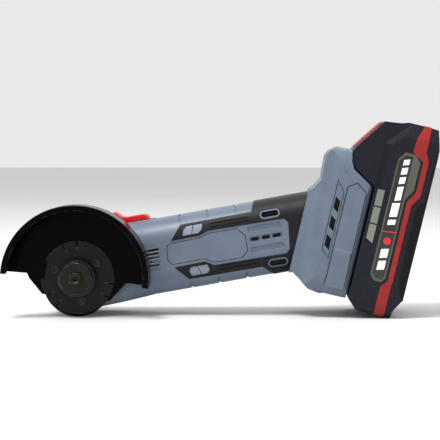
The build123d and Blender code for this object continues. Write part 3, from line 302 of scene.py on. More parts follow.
@dataclass(frozen=True)
class Finish:
    """Base of every finish: mottled colour, lighter edges that are rubbed wear and, on the guard's rim and the
    flange's bevel, a painted highlight, painted shade in grooves, uneven gloss and a fine relief.
    """

    colour: Colour
    roughness: float = 0.5
    metallic: float = 0.0
    coat: float = 0.0
    sheen_level: float = 0.4
    mottle: float = 0.06
    patch_mm: float = 14.0
    worn: Colour | None = None
    wear: float = 0.35
    edge_mm: float = 0.35
    relief_mm: float = 0.02
    # How strong the painted shade in seams and grooves is, and how far it reaches.
    grime: float = 0.0
    groove_mm: float = 1.1

    def height(self, shader: Shader) -> Value:
        """Gives the relief, 0 to 1, at each point."""
        return shader.noise(0.4, 2.0)

    def tint(self, shader: Shader) -> Any:
        """Gives the colour before wear."""
        cloud = shader.noise(self.patch_mm, 3.0).rise(0.3, 0.7)
        return shader.mix(cloud, shade(self.colour, 1 - self.mottle), shade(self.colour, 1 + self.mottle))

    def edges(self, shader: Shader) -> tuple[Value, bpy.types.NodeSocket]:
        """Finds the corners of the shape.

        Args:
            shader: The material being wired.

        Returns:
            How near a corner each point is, and the normal with its corners rounded.
        """
        rounded = shader.node("ShaderNodeBevel", {"samples": 4}, {"Radius": self.edge_mm * MM})
        face = shader.node("ShaderNodeNewGeometry").outputs["Normal"]
        agree = shader.read("ShaderNodeVectorMath", {"operation": "DOT_PRODUCT"},
                            {0: rounded.outputs[0], 1: face}, "Value")
        return (1 - agree).rise(*CORNER_LEAN), rounded.outputs[0]

    def soiled(self, shader: Shader) -> Any:
        """Gives the colour with painted shade: darker in seams, grooves and recesses."""
        if not self.grime:
            return self.tint(shader)
        # Painted shade: ambient occlusion darkens the colour in seams, grooves, slots and sockets.
        open_share = shader.read("ShaderNodeAmbientOcclusion", {"samples": 6},
                                 {"Distance": self.groove_mm * MM}, "AO")
        recess_shade_share = (1 - open_share).rise(*RECESS_SHADE_RISE) * self.grime
        return shader.mix(recess_shade_share, self.tint(shader), shade(self.colour, RECESS_SHADE_DARKNESS))

    def build(self, name: str) -> bpy.types.Material:
        """Makes the material.

        Args:
            name: The material's name.

        Returns:
            The finished material.
        """
        shader = Shader(name)
        near_edge, rounded = self.edges(shader)
        # Lighter corners: rubbed wear, and on the guard's rim and the flange's bevel a painted highlight in the pale
        # edge colour.
        edge_wear_and_highlight = near_edge * shader.noise(3.0, 4.0).rise(*EDGE_WEAR_AND_HIGHLIGHT_PATCH) * self.wear
        bare_and_highlight = self.worn or shade(self.colour, 1.5)
        gloss = shader.noise(6.0, 3.0) * 0.16 + (self.roughness - 0.08) + edge_wear_and_highlight * 0.1
        bump = shader.node("ShaderNodeBump", {}, {"Height": self.height(shader), "Distance": self.relief_mm * MM,
                                                  "Strength": 0.6, "Normal": rounded})
        for socket, value in (("Base Color", shader.mix(edge_wear_and_highlight, self.soiled(shader), bare_and_highlight)), ("Roughness", gloss),
                              ("Metallic", self.metallic), ("Coat Weight", self.coat),
                              ("Coat Roughness", 0.12), ("Specular IOR Level", self.sheen_level),
                              ("Normal", bump.outputs[0])):
            shader.feed(shader.surface.inputs[socket], value)
        return shader.material


@dataclass(frozen=True)
class Moulded(Finish):
    """Spark-eroded plastic: a fine pebbled skin with a faint flow mottle."""

    pebble_mm: float = 0.55

    def height(self, shader: Shader) -> Value:
        """Gives the pebbled skin."""
        return shader.cells(self.pebble_mm) * 0.7 + shader.noise(self.pebble_mm * 0.6, 1.0) * 0.5


@dataclass(frozen=True)
class Badged(Moulded):
    """Housing plastic with a paler, silvered island in each arm of the grip."""

    silver: Colour = linear(122, 130, 147)
    place_x: float = 74.4
    heights: tuple[float, float] = (16.6, -8.9)
    half: tuple[float, float] = (6.4, 3.2)

    def tint(self, shader: Shader) -> Any:
        """Gives the plastic with the two silvered islands."""
        across, up = (length / MM for length in shader.seen_along_y(TOOL))
        half_long, half_tall = self.half
        upper, lower = (up.near(height, half_tall) for height in self.heights)
        return shader.mix(across.near(self.place_x, half_long) * (upper + lower), super().tint(shader), self.silver)


@dataclass(frozen=True)
class Rubber(Finish):
    """Soft over-moulded rubber: matt, with dust in its fine pores."""

    dust: Colour = linear(92, 90, 88)

    def height(self, shader: Shader) -> Value:
        """Gives the pores."""
        return shader.noise(0.25, 2.0) + shader.cells(0.8) * 0.35

    def tint(self, shader: Shader) -> Any:
        """Gives black with a thin dusting."""
        dusted = shader.noise(5.0, 5.0).rise(0.5, 0.85) * 0.16
        return shader.mix(dusted, super().tint(shader), self.dust)


@dataclass(frozen=True)
class Enamel(Finish):
    """Gloss paint over steel: slight orange peel, and lighter edges that are chips to primer and, on the guard's rim,
    a painted highlight.
    """

    def height(self, shader: Shader) -> Value:
        """Gives the orange peel."""
        return shader.noise(2.2, 1.0)


@dataclass(frozen=True)
class Turned(Finish):
    """Steel turned on a lathe about the spindle, with fine rings."""

    pitch_mm: float = 0.22
    streak: Colour | None = None

    def rings(self, shader: Shader) -> Value:
        """Gives the tool marks as waves out from the spindle."""
        wobble = shader.noise(2.0, 2.0) * 0.8
        return shader.maths("SINE", shader.radius(TOOL) * (math.tau / (self.pitch_mm * MM)) + wobble) * 0.5 + 0.5

    def height(self, shader: Shader) -> Value:
        """Gives the tool marks."""
        return self.rings(shader)

    def tint(self, shader: Shader) -> Any:
        """Gives the steel with its rings a little brighter."""
        return shader.mix(self.rings(shader) * 0.3, super().tint(shader), self.streak or shade(self.colour, 1.6))


@dataclass(frozen=True)
class Drawn(Finish):
    """Metal drawn or ground along one direction, with long fine scratches."""

    way: str = "x"

    def height(self, shader: Shader) -> Value:
        """Gives the scratches."""
        long = {"x": (0.06, 1, 1), "y": (1, 0.06, 1), "z": (1, 1, 0.06)}[self.way]
        return shader.noise(0.3, 3.0, Vector(long))


@dataclass(frozen=True)
class Cast(Finish):
    """Die-cast alloy with a sandy skin."""

    def height(self, shader: Shader) -> Value:
        """Gives the sandy skin."""
        return shader.noise(0.5, 4.0) + shader.cells(1.4) * 0.5


@dataclass(frozen=True)
class Layered(Finish):
    """Thin layers stacked along a direction, as a rotor core or a wound coil."""

    layer_mm: float = 0.5
    gap: Colour = linear(30, 26, 24)

    def lines(self, shader: Shader) -> Value:
        """Gives 1 in each layer and 0 between."""
        wave = shader.maths("SINE", shader.along(HANDLE_WAY) * (math.tau / (self.layer_mm * MM)))
        return (wave * 0.5 + 0.5).rise(0.1, 0.4)

    def height(self, shader: Shader) -> Value:
        """Gives the layers."""
        return self.lines(shader)

    def tint(self, shader: Shader) -> Any:
        """Gives the layers with dark gaps."""
        return shader.mix(self.lines(shader), self.gap, super().tint(shader))


@dataclass(frozen=True)
class Board(Finish):
    """Circuit board: green resist with copper tracks under it."""

    track: Colour = linear(66, 112, 70)
    tracks_per_m: float = 220.0
    track_share: float = 0.03

    def tint(self, shader: Shader) -> Any:
        """Gives the resist with its tracks."""
        tracks = shader.read("ShaderNodeTexBrick", {"offset": 0.5},
                             {"Vector": shader.place, "Scale": self.tracks_per_m, "Mortar Size": self.track_share,
                              "Color1": (0, 0, 0), "Color2": (0, 0, 0), "Mortar": (1, 1, 1)}, "Fac")
        return shader.mix(tracks * 0.7, super().tint(shader), self.track)


@dataclass(frozen=True)
class Lens(Finish):
    """Window moulded over a row of lamps."""

    prism_mm: float = 0.6

    def height(self, shader: Shader) -> Value:
        """Gives fine prisms across the window."""
        return shader.maths("SINE", shader.along(PACK_WAY) * (math.tau / (self.prism_mm * MM))) * 0.5 + 0.5


BLUE_GREY = linear(92, 104, 120)
PACK_NAVY = linear(20, 22, 31)
FINISHES: dict[str, Finish] = {
    # Where a finish below darkens its seams, grooves and sockets, that darkening is painted shade.
    "housing_plastic": Badged(BLUE_GREY, 0.42, worn=linear(168, 180, 198), wear=0.5, grime=0.85),
    "dock_plastic": Moulded(BLUE_GREY, 0.42, worn=linear(168, 180, 198), wear=0.5, grime=0.85),
    "soft_grip": Rubber(linear(19, 18, 18), 0.5, sheen_level=0.2, dust=linear(66, 64, 62), worn=linear(78, 75, 72),
                        relief_mm=0.03),
    "switch_red": Moulded(linear(204, 16, 22), 0.32, worn=linear(240, 92, 84), relief_mm=0.01),
    # guard_steel: the pale colour along its rim's edges is a painted highlight.
    "guard_steel": Enamel(linear(2, 2, 3), 0.2, sheen_level=0.04, worn=linear(120, 118, 108), wear=0.55,
                          edge_mm=0.5, relief_mm=0.015),
    "plate_steel": Enamel(linear(15, 15, 16), 0.34, sheen_level=0.16, worn=linear(130, 130, 126), wear=0.6,
                          relief_mm=0.03, grime=0.9, groove_mm=1.6),
    "black_screw": Turned(linear(30, 30, 32), 0.3, 0.6, worn=linear(150, 150, 146), wear=0.8, grime=0.95,
                          groove_mm=2.0),
    # flange_steel: the pale colour along its bevel is a painted highlight, and the dark in its hex socket is painted
    # shade.
    "flange_steel": Turned(linear(30, 30, 26), 0.34, 0.6, sheen_level=0.2, worn=linear(196, 192, 172), wear=0.9,
                           streak=linear(46, 46, 40), grime=0.95, groove_mm=2.4),
    "inner_flange_steel": Turned(linear(40, 43, 50), 0.36, 0.7, worn=linear(150, 156, 168)),
    "bright_steel": Drawn(linear(176, 178, 182), 0.28, 1.0, worn=linear(214, 214, 216), relief_mm=0.008),
    "gear_steel": Drawn(linear(120, 120, 122), 0.34, 1.0, worn=linear(196, 196, 198), relief_mm=0.008),
    "cast_alloy": Cast(linear(84, 86, 90), 0.5, 0.85, worn=linear(150, 152, 156), relief_mm=0.06),
    "zinc_screw": Turned(linear(172, 170, 160), 0.35, 0.9, worn=linear(214, 212, 206)),
    "spring_steel": Drawn(linear(150, 150, 152), 0.3, 1.0, worn=linear(206, 206, 208), relief_mm=0.006),
    "lock_plastic": Moulded(linear(30, 31, 34), 0.4, worn=linear(84, 86, 92)),
    "inner_plastic": Moulded(linear(40, 41, 44), 0.5, worn=linear(80, 82, 86)),
    "magnet": Cast(linear(62, 62, 66), 0.5, 0.2, worn=linear(96, 96, 100)),
    "laminations": Layered(linear(128, 130, 136), 0.4, 0.9, worn=linear(176, 178, 182), relief_mm=0.05),
    "copper": Layered(linear(184, 106, 66), 0.3, 0.9, worn=linear(222, 150, 108), gap=linear(110, 54, 34),
                      relief_mm=0.04),
    "bronze": Turned(linear(164, 126, 78), 0.4, 0.9, worn=linear(206, 172, 122)),
    "carbon": Cast(linear(44, 44, 46), 0.6, 0.1, worn=linear(74, 74, 76)),
    "circuit_board": Board(linear(26, 74, 44), 0.4, worn=linear(150, 140, 96)),
    "wire_cover": Moulded(linear(176, 30, 30), 0.4, worn=linear(206, 84, 78), relief_mm=0.005),
    "contact_metal": Drawn(linear(206, 184, 130), 0.25, 1.0, worn=linear(226, 210, 166), way="z", relief_mm=0.006),
    "pack_plastic": Moulded(PACK_NAVY, 0.36, sheen_level=0.2, worn=linear(86, 90, 108), wear=0.6),
    "stripe_red": Moulded(linear(140, 33, 29), 0.36, sheen_level=0.25, worn=linear(222, 104, 96), relief_mm=0.012),
    "bumper_rubber": Rubber(linear(17, 17, 19), 0.55, sheen_level=0.18, dust=linear(60, 60, 60),
                            worn=linear(70, 70, 72)),
    "label_plate": Moulded(linear(78, 78, 70), 0.34, worn=linear(120, 120, 110), relief_mm=0.008),
    "gauge_lens": Lens(linear(112, 115, 102), 0.2, coat=0.5, worn=linear(190, 194, 180), relief_mm=0.04),
    "latch_red": Moulded(linear(150, 24, 30), 0.34, worn=linear(220, 96, 92)),
    "cell_wrap": Enamel(linear(38, 92, 140), 0.3, coat=0.4, worn=linear(96, 140, 178)),
    "nickel": Drawn(linear(190, 188, 180), 0.25, 1.0, worn=linear(220, 218, 212), way="z", relief_mm=0.006),
}


class Print(Enum):
    """Inks and inlays on the pack's label."""

    INLAY = Enamel(linear(14, 14, 16), 0.25, coat=0.5, worn=linear(70, 70, 72), wear=0.2)
    WHITE = Enamel(linear(238, 238, 236), 0.35, worn=linear(200, 200, 198), wear=0.3)
    RED = Enamel(linear(206, 30, 38), 0.35, worn=linear(224, 110, 108), wear=0.3)


class Wardrobe:
    """Makes each finish once and hands it out by slot."""

    def __init__(self) -> None:
        """Starts with nothing made."""
        self.made: dict[str, bpy.types.Material] = {}

    def get(self, name: str) -> bpy.types.Material:
        """Gives the material of a slot or a print.

        Args:
            name: A slot of the record, or the name of a print in small letters.

        Returns:
            The material.
        """
        if name not in self.made:
            finish = FINISHES.get(name) or Print[name.upper()].value
            self.made[name] = finish.build(name)
        return self.made[name]


WARDROBE = Wardrobe()
SLOTS = {part["node"]: part["material_slot"] for part in frame["record"]["subparts"]}


# ------------------------------------------------------------------ pieces
def keep(piece: bpy.types.Object, body: str, stands_for: Iterable[str] = ()) -> None:
    """Settles a finished piece: its body, what it stands for, and a line in the log.

    Args:
        piece: The object.
        body: The body that it rides on.
        stands_for: CAD nodes that it replaces.
    """
    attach(piece, body)
    for node in stands_for:
        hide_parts(node)
    LOG.info("%s: %d faces on %s", piece.name, len(piece.data.polygons), body)


def as_object(name: str, mesh: bpy.types.Mesh, material: bpy.types.Material | None) -> bpy.types.Object:
    """Puts a mesh in the scene.

    Args:
        name: The piece's name.
        mesh: Its mesh, already in place.
        material: The one material that it wears, or None to leave its own.

    Returns:
        The object, at the origin.
    """
    if material:
        mesh.materials.clear()
        mesh.materials.append(material)
    made = bpy.data.objects.new(name, mesh)
    bpy.context.scene.collection.objects.link(made)
    return made


def settled(piece: bpy.types.Object) -> bpy.types.Object:
    """Turns a piece's live modifiers into a plain mesh.

    Args:
        piece: The object with modifiers.

    Returns:
        The same object with its result as its mesh.
    """
    graph = bpy.context.evaluated_depsgraph_get()
    mesh = bpy.data.meshes.new_from_object(piece.evaluated_get(graph))
    piece.modifiers.clear()
    piece.data = mesh
    return piece


@dataclass
class Softened:
    """A copy of a CAD node whose sharp corners are really rounded, which stands for it."""

    node: str
    body: str
    width_mm: float = 0.3
    corner_deg: float = 28.0
    flat_deg: float = 0.6
    weld_m: float = 2e-6
    rounds: int = 2
    change: Callable[[bmesh.types.BMesh], None] | None = None

    def copied(self) -> bpy.types.Mesh:
        """Gives the node's mesh with its triangles joined and its flat faces whole."""
        work = bmesh.new()
        work.from_mesh(frame["nodes"][self.node].data)
        bmesh.ops.remove_doubles(work, verts=work.verts, dist=self.weld_m)
        if self.change:
            self.change(work)
        bmesh.ops.dissolve_limit(work, angle_limit=math.radians(self.flat_deg), verts=work.verts, edges=work.edges)
        mesh = bpy.data.meshes.new(self.node + "_soft")
        work.to_mesh(mesh)
        work.free()
        mesh.shade_smooth()
        return mesh

    def build(self) -> bpy.types.Object:
        """Makes the rounded copy.

        Returns:
            The finished piece.
        """
        slot = SLOTS[self.node]
        piece = as_object(self.node + "_finished", self.copied(), WARDROBE.get(slot))
        bevel = piece.modifiers.new("corners", "BEVEL")
        bevel.width = self.width_mm * MM
        bevel.segments = self.rounds
        bevel.limit_method = "ANGLE"
        bevel.angle_limit = math.radians(self.corner_deg)
        bevel.miter_outer = "MITER_ARC"
        bevel.use_clamp_overlap = True
        weigh = piece.modifiers.new("flats", "WEIGHTED_NORMAL")
        weigh.keep_sharp = True
        settled(piece)
        keep(piece, self.body, [self.node])
        return piece


# ------------------------------------------------------------------ geometry nodes
class Recipe:
    """A Geometry Nodes tree with named number inputs, turned into a plain mesh."""

    def __init__(self, name: str, takes_mesh: bool = False) -> None:
        """Starts the tree.

        Args:
            name: The tree's name.
            takes_mesh: Whether a mesh goes in.
        """
        self.tree = bpy.data.node_groups.new(name, "GeometryNodeTree")
        self.sizes: dict[str, tuple[str, Any]] = {}
        if takes_mesh:
            self.tree.interface.new_socket("Geometry", in_out="INPUT", socket_type="NodeSocketGeometry")
        self.tree.interface.new_socket("Geometry", in_out="OUTPUT", socket_type="NodeSocketGeometry")
        self.source = self.tree.nodes.new("NodeGroupInput")

    def size(self, name: str, value: float | Vector | int) -> bpy.types.NodeSocket:
        """Adds a named input.

        Args:
            name: The input's name.
            value: A number, a whole number or a vector.

        Returns:
            The socket that carries it inside the tree.
        """
        kind = {int: "Int", float: "Float"}.get(type(value), "Vector")
        item = self.tree.interface.new_socket(name, in_out="INPUT", socket_type="NodeSocket" + kind)
        self.sizes[name] = (item.identifier, value)
        return self.source.outputs[name]

    def node(self, kind: str, settings: dict[str, Any] | None = None, sockets: dict[str | int, Any] | None = None,
             out: str | int = 0) -> bpy.types.NodeSocket:
        """Adds a node.

        Args:
            kind: Blender's node type.
            settings: Its properties.
            sockets: Values or links for its inputs.
            out: Which output to give.

        Returns:
            The output socket.
        """
        made = self.tree.nodes.new(kind)
        for key, value in (settings or {}).items():
            setattr(made, key, value)
        for key, value in (sockets or {}).items():
            if isinstance(value, bpy.types.NodeSocket):
                self.tree.links.new(value, made.inputs[key])
            else:
                made.inputs[key].default_value = value
        return made.outputs[out]

    def cook(self, name: str, shape: bpy.types.NodeSocket, material: bpy.types.Material,
             place: Matrix, seed: bpy.types.Mesh | None = None) -> bpy.types.Object:
        """Closes the tree, evaluates it and puts the mesh in place.

        Args:
            name: The piece's name.
            shape: The geometry that the tree ends in.
            material: The finish.
            place: From the tree's space to the model.
            seed: The mesh that goes in, if the tree takes one.

        Returns:
            The piece, at the origin, with a plain mesh.
        """
        real = self.node("GeometryNodeRealizeInstances", {}, {0: shape})
        dressed = self.node("GeometryNodeSetMaterial", {}, {0: real, "Material": material})
        end = self.tree.nodes.new("NodeGroupOutput")
        self.tree.links.new(dressed, end.inputs[0])
        piece = as_object(name, seed or bpy.data.meshes.new(name), None)
        modifier = piece.modifiers.new("recipe", "NODES")
        modifier.node_group = self.tree
        for identifier, value in self.sizes.values():
            modifier[identifier] = value
        settled(piece)
        piece.data.transform(place)
        if place.to_3x3().determinant() < 0:
            piece.data.flip_normals()
        piece.data.update()
        return piece


def points_mesh(name: str, points: Iterable[tuple[float, float, float]]) -> bpy.types.Mesh:
    """Makes a mesh of loose points in metres from millimetres."""
    mesh = bpy.data.meshes.new(name)
    mesh.from_pydata([Vector(point) * MM for point in points], [], [])
    return mesh


def inside(outline: Outline, x: float, y: float) -> bool:
    """Tells whether a point lies in a closed outline."""
    hit = False
    for (x0, y0), (x1, y1) in zip(outline, outline[1:] + outline[:1]):
        if (y0 > y) != (y1 > y) and x < (x1 - x0) * (y - y0) / (y1 - y0) + x0:
            hit = not hit
    return hit


def scaled(axes: Axes) -> Matrix:
    """Gives the matrix from metres along some axes to the model."""
    return axes.matrix() @ Matrix.Scale(1 / MM, 4)


def studs(name: str, spots: list[tuple[float, float, float]], size: Vector, axes: Axes,
          material: bpy.types.Material) -> bpy.types.Object:
    """Sets a small tapered block on each spot.

    Args:
        name: The piece's name.
        spots: Middles of the blocks, in millimetres along the axes.
        size: Each block's size, in millimetres.
        axes: The axes that the spots are in.
        material: The finish.

    Returns:
        One plain mesh of all the blocks.
    """
    recipe = Recipe(name, takes_mesh=True)
    block = recipe.node("GeometryNodeMeshCube", {}, {"Size": recipe.size("Block size", size * MM)}, "Mesh")
    spread = recipe.node("GeometryNodeInstanceOnPoints", {}, {"Points": recipe.source.outputs[0], "Instance": block})
    return recipe.cook(name, spread, material, scaled(axes), points_mesh(name, spots))


def side_plates(name: str, axes: Axes, outlines: list[Outline], inner: float, outer: float,
                finish: str) -> bpy.types.Object:
    """Raises flat shapes on both sides of the tool.

    Args:
        name: The piece's name.
        axes: The axes that the outlines are drawn in, as x and z.
        outlines: The shapes, in millimetres.
        inner: How far their backs lie from the middle.
        outer: How far their faces lie from the middle.
        finish: The finish's name.

    Returns:
        The piece.
    """
    work = bmesh.new()
    for side in (-1, 1):
        for outline in outlines:
            low = [work.verts.new((x, side * inner, z)) for x, z in outline]
            high = [work.verts.new((x, side * outer, z)) for x, z in outline]
            work.faces.new(low)
            work.faces.new(high)
            for here in range(len(outline)):
                there = (here + 1) % len(outline)
                work.faces.new((low[here], low[there], high[there], high[here]))
    bmesh.ops.recalc_face_normals(work, faces=work.faces)
    mesh = bpy.data.meshes.new(name)
    work.to_mesh(mesh)
    work.free()
    mesh.transform(axes.matrix())
    return as_object(name, mesh, WARDROBE.get(finish))


def rectangle(low_x: float, high_x: float, low_z: float, high_z: float) -> Outline:
    """Gives a rectangle's corners."""
    return [(low_x, low_z), (high_x, low_z), (high_x, high_z), (low_x, high_z)]


# ------------------------------------------------------------------ sub-assemblies
@dataclass(frozen=True)
class ShadeSheet:
    """Dark sheets on both sides of the tool, painted shade behind openings: their openings and how far out their
    faces lie.
    """

    name: str
    axes: Axes
    openings: tuple[tuple[float, float, float, float], ...]
    face: float


@dataclass
class Housing:
    """Clamshell handle: dark sheets behind its air slots as painted shade, and raised bars between its exhaust slots.
    """

    thickness: float = 0.4
    # Painted shade: black sheets behind the slots and windows, so that they read dark inside.
    screens: tuple[ShadeSheet, ...] = (
        ShadeSheet("slot_shade_sheets", TOOL, ((116.5, 129.5, 14.6, 20.0), (116.5, 129.5, -14.6, -9.6)), 17.6),
        ShadeSheet("louvre_shade_sheets", TOOL, ((107.5, 129.0, 2.0, 6.4),), 21.0),
        ShadeSheet("foot_shade_sheets", PACK, ((141.4, 146.8, 51.4, 87.2),), 32.6))
    slots: int = 5
    first_slot: tuple[float, float] = (48.1, 8.2)
    slot_step: tuple[float, float] = (-0.25, -2.35)
    bar_half: tuple[float, float] = (3.9, 0.42)
    bar_slant: float = 0.3
    bar_faces: tuple[float, float] = (23.9, 24.4)

    def fit_screens(self) -> None:
        """Fits the dark sheets that paint the shade inside the slots."""
        for shade_sheet in self.screens:
            shapes = [rectangle(*opening) for opening in shade_sheet.openings]
            piece = side_plates(shade_sheet.name, shade_sheet.axes, shapes, shade_sheet.face - self.thickness, shade_sheet.face,
                                "soft_grip")
            keep(piece, "handle")

    def vent_bars(self) -> bpy.types.Object:
        """Raises a bar on each side of every exhaust slot."""
        long, thin = self.bar_half
        short = long - self.bar_slant
        bars = []
        for number in range(self.slots + 1):
            step = number - 0.5
            x, z = (first + pitch * step for first, pitch in zip(self.first_slot, self.slot_step))
            bars.append([(x - long, z - thin), (x + long, z - thin), (x + short, z + thin), (x - short, z + thin)])
        return side_plates("vent_bars", TOOL, bars, *self.bar_faces, "housing_plastic")

    def build(self) -> None:
        """Makes the handle's pieces."""
        self.fit_screens()
        keep(self.vent_bars(), "handle")


@dataclass
class Guard:
    """Pressed half guard with a rolled bead inside its lip."""

    lip_radius: float = 41.9
    bead_radius: float = 0.8
    rim: float = -49.1
    start_deg: float = -16.0
    sweep_deg: float = 180.4
    steps: int = 96

    def bead(self) -> bpy.types.Object:
        """Sweeps a round bead along the lip's inner edge."""
        recipe = Recipe("guard_bead")
        arc = recipe.node("GeometryNodeCurveArc", {"mode": "RADIUS"}, {
            "Resolution": recipe.size("Steps", self.steps), "Radius": recipe.size("Lip radius", self.lip_radius * MM),
            "Start Angle": recipe.size("Start", math.radians(self.start_deg)),
            "Sweep Angle": recipe.size("Sweep", math.radians(self.sweep_deg))}, "Curve")
        ring = recipe.node("GeometryNodeCurvePrimitiveCircle", {"mode": "RADIUS"}, {
            "Resolution": 10, "Radius": recipe.size("Bead radius", self.bead_radius * MM)}, "Curve")
        tube = recipe.node("GeometryNodeCurveToMesh", {}, {"Curve": arc, "Profile Curve": ring, "Fill Caps": True})
        smooth = recipe.node("GeometryNodeSetShadeSmooth", {}, {0: tube})
        upright = Axes(TOOL.at(0, self.rim, 0), TOOL.x, TOOL.z, -TOOL.y)
        return recipe.cook("guard_rolled_bead", smooth, WARDROBE.get("guard_steel"), scaled(upright))

    def build(self) -> None:
        """Makes the guard's pieces."""
        keep(self.bead(), "guard")


@dataclass
class Pack:
    """Slide-on battery pack: bumper with studs, label with inlay and print."""

    half_width: float = 37.5
    bumper_skin: float = 0.5
    stud_height: float = 0.38
    stud_sunk: float = 0.03
    side_pitch: float = 1.4
    side_stud: float = 0.95
    side_clear: float = 0.55
    side_first: tuple[float, float] = (191.9, 33.9)
    side_span: tuple[float, float] = (7.0, 91.0)
    face_pitch: float = 3.4
    face_stud: float = 2.4
    face_margin: float = 4.0
    face_columns: int = 19
    bumper_side: Outline = field(default_factory=lambda: [
        (194.9, 33.0), (197.1, 33.6), (197.2, 124.0), (195.2, 124.0), (195.2, 96.0), (191.2, 89.6), (191.2, 45.0)])
    skin_slack: float = 0.05
    face_slack: float = 0.1
    face_depth: tuple[float, float] = (197.0, 197.3)
    face_heights: tuple[float, float] = (33.4, 126.5)
    inlay: Outline = field(default_factory=lambda: [
        (174.5, 46.0), (176.9, 43.0), (180.6, 43.0), (182.2, 45.0), (182.2, 93.4), (182.2, 119.6), (177.6, 119.6),
        (174.5, 115.6)])
    rule: Outline = field(default_factory=lambda: [(174.3, 71.4), (183.0, 72.4), (183.0, 73.0), (174.3, 72.0)])
    dot_place: tuple[float, float] = (178.7, 66.4)
    dot_radius: float = 2.3
    dot_steps: int = 24
    bars: tuple[tuple[float, float], ...] = (
        (48.0, 5.6), (55.4, 5.6), (76.0, 3.2), (81.0, 8.6), (91.2, 8.6), (101.6, 4.2), (107.4, 4.2), (113.2, 3.4))
    bar_lean: float = 1.2
    bar_narrows: float = 90.0
    bar_sides: tuple[tuple[float, float], tuple[float, float]] = ((176.4, 181.0), (177.2, 180.8))
    label_back: float = 37.4
    label_faces: tuple[float, float, float] = (37.66, 37.7, 37.72)

    def sink_bumper(self, work: bmesh.types.BMesh) -> None:
        """Lowers the bumper's outer skin so that its studs end where the CAD skin was."""
        for vertex in work.verts:
            side = (vertex.co - PACK.origin).dot(PACK.y) / MM
            depth = (vertex.co - PACK.origin).dot(PACK.x) / MM
            if abs(side) > self.half_width + self.bumper_skin - self.skin_slack:
                vertex.co -= PACK.y * math.copysign(self.stud_height * MM, side)
            if depth > self.face_depth[0] - self.face_slack:
                vertex.co -= PACK.x * self.stud_height * MM

    def face_studs(self) -> bpy.types.Object:
        """Sets a grid of square studs on the bumper's outer face."""
        low, high = self.face_heights
        near, far = self.face_depth
        sides = [(column - self.face_columns // 2) * self.face_pitch for column in range(self.face_columns)]
        spots = []
        for row in range(int((high - low - 1.5 * self.face_margin) / self.face_pitch)):
            height = low + self.face_margin + row * self.face_pitch
            depth = near + (far - near) * (height - low) / (high - low) - self.stud_height / 2 - self.stud_sunk
            spots += [(depth, side, height) for side in sides]
        size = Vector((self.stud_height, self.face_stud, self.face_stud))
        return studs("bumper_face_studs", spots, size, PACK, WARDROBE.get("bumper_rubber"))

    def bumper_studs(self) -> bpy.types.Object:
        """Sets rows of small square studs on both sides of the bumper."""
        spots = []
        middle = self.half_width + self.bumper_skin - self.stud_height / 2 - self.stud_sunk
        columns, rows = (int(span / self.side_pitch) for span in self.side_span)
        corners = [(step, rise) for step in (-self.side_clear, self.side_clear)
                   for rise in (-self.side_clear, self.side_clear)]
        for row in range(rows):
            for column in range(columns):
                depth, height = (first + count * self.side_pitch
                                 for first, count in zip(self.side_first, (column, row)))
                if all(inside(self.bumper_side, depth + step, height + rise) for step, rise in corners):
                    spots += [(depth, middle, height), (depth, -middle, height)]
        size = Vector((self.side_stud, self.stud_height, self.side_stud))
        return studs("bumper_studs", spots, size, PACK, WARDROBE.get("bumper_rubber"))

    def white_marks(self) -> list[Outline]:
        """Gives a column of slanted bars, as a plain printed pattern."""
        marks = []
        for low, tall in self.bars:
            left, right = self.bar_sides[low > self.bar_narrows]
            lean = low + self.bar_lean
            marks.append([(left, low), (right, lean), (right, lean + tall), (left, low + tall)])
        return marks

    def dot(self) -> Outline:
        """Gives the round mark below the rule."""
        x, z = self.dot_place
        turns = (step * math.tau / self.dot_steps for step in range(self.dot_steps))
        return [(x + self.dot_radius * math.cos(turn), z + self.dot_radius * math.sin(turn)) for turn in turns]

    def build(self) -> None:
        """Makes the pack's pieces."""
        Softened("battery_bumper", "battery", change=self.sink_bumper).build()
        keep(self.bumper_studs(), "battery")
        keep(self.face_studs(), "battery")
        layers = (("label_inlay", [self.inlay], "inlay"), ("label_bars", self.white_marks(), "white"),
                  ("label_rule", [self.rule, self.dot()], "red"))
        for (name, shapes, ink), face in zip(layers, self.label_faces):
            keep(side_plates(name, PACK, shapes, self.label_back, face, ink), "battery")


# ------------------------------------------------------------------ studio
@dataclass(frozen=True)
class Lamp:
    """A square soft light: its place and width in metres, and its power in watts."""

    name: str
    place: tuple[float, float, float]
    size: float
    power: float


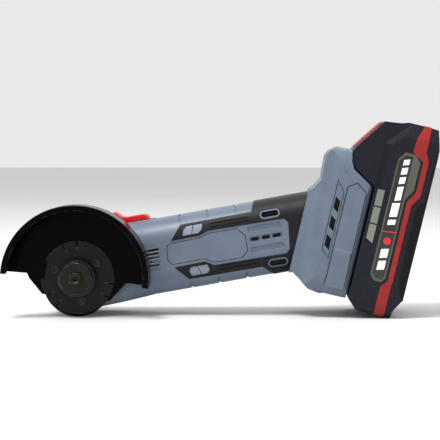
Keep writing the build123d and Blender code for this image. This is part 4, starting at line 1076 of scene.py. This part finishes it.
@dataclass
class Studio:
    """Pale floor, soft lights and the camera."""

    azimuth_deg: float = 2.0
    elevation_deg: float = 2.5
    distance: float = 1.15
    view_mm: float = 275.0
    drop_mm: float = 1.3
    slide_mm: float = 1.1
    sensor: float = 36.0
    near_clip: float = 0.01
    floor_size: float = 12.0
    lamp_aim: tuple[float, float, float] = (0.0, 0.0, 0.06)
    lamps: tuple[Lamp, ...] = (Lamp("key", (-0.4, -0.5, 1.5), 0.6, 26.0), Lamp("fill", (0.9, -1.2, 0.5), 0.9, 2.0),
                               Lamp("back", (0.3, 1.1, 1.3), 0.9, 6.0))
    sky_strength: float = 0.82

    def floor(self) -> None:
        """Lays the floor just under the tool."""
        half = self.floor_size / 2
        mesh = bpy.data.meshes.new("floor")
        mesh.from_pydata([(-half, -half, 0), (half, -half, 0), (half, half, 0), (-half, half, 0)], [], [(0, 1, 2, 3)])
        shader = Shader("floor_paper")
        cloud = shader.noise(300.0, 2.0)
        colour = shader.mix(cloud, linear(214, 214, 214), linear(220, 220, 220))
        shader.feed(shader.surface.inputs["Base Color"], colour)
        shader.feed(shader.surface.inputs["Roughness"], 0.7)
        as_object("floor", mesh, shader.material)

    def hang(self, lamp: Lamp) -> None:
        """Hangs a lamp that faces the tool.

        Args:
            lamp: The lamp to hang.
        """
        light = bpy.data.lights.new(lamp.name, "AREA")
        light.size = lamp.size
        light.energy = lamp.power
        made = bpy.data.objects.new(lamp.name, light)
        made.location = lamp.place
        made.rotation_euler = (Vector(self.lamp_aim) - Vector(lamp.place)).to_track_quat("-Z", "Y").to_euler()
        bpy.context.scene.collection.objects.link(made)

    def camera(self) -> None:
        """Points the camera at the middle of the tool."""
        low, high = (Vector(corner) for corner in CAD_BOX)
        middle = (low + high) / 2 - Vector((self.slide_mm, 0, self.drop_mm)) * MM
        turn, rise = math.radians(self.azimuth_deg), math.radians(self.elevation_deg)
        way = Vector((math.sin(turn) * math.cos(rise), -math.cos(turn) * math.cos(rise), math.sin(rise)))
        lens = bpy.data.cameras.new("camera")
        lens.sensor_width = self.sensor
        lens.lens = self.sensor * self.distance / (self.view_mm * MM)
        lens.clip_start = self.near_clip
        made = bpy.data.objects.new("camera", lens)
        made.location = middle + way * self.distance
        made.rotation_euler = (-way).to_track_quat("-Z", "Y").to_euler()
        bpy.context.scene.collection.objects.link(made)
        bpy.context.scene.camera = made

    def build(self) -> None:
        """Sets up the studio."""
        self.floor()
        self.camera()
        for lamp in self.lamps:
            self.hang(lamp)
        world = bpy.data.worlds.new("studio")
        bpy.context.scene.world = world
        world.use_nodes = True
        sky = world.node_tree.nodes["Background"]
        sky.inputs["Color"].default_value = (1.0, 1.0, 1.0, 1.0)
        sky.inputs["Strength"].default_value = self.sky_strength
        bpy.context.scene.view_settings.view_transform = "Standard"


def dress_nodes() -> None:
    """Gives every CAD node the finish of its slot."""
    for name, node in frame["nodes"].items():
        for slot in node.material_slots:
            slot.material = WARDROBE.get(SLOTS[name])


def main() -> None:
    """Builds the whole scene."""
    logging.basicConfig(level=logging.INFO, format="%(name)s %(message)s")
    Studio().build()
    dress_nodes()
    Housing().build()
    Guard().build()
    Pack().build()


if __name__ == "__main__":
    main()
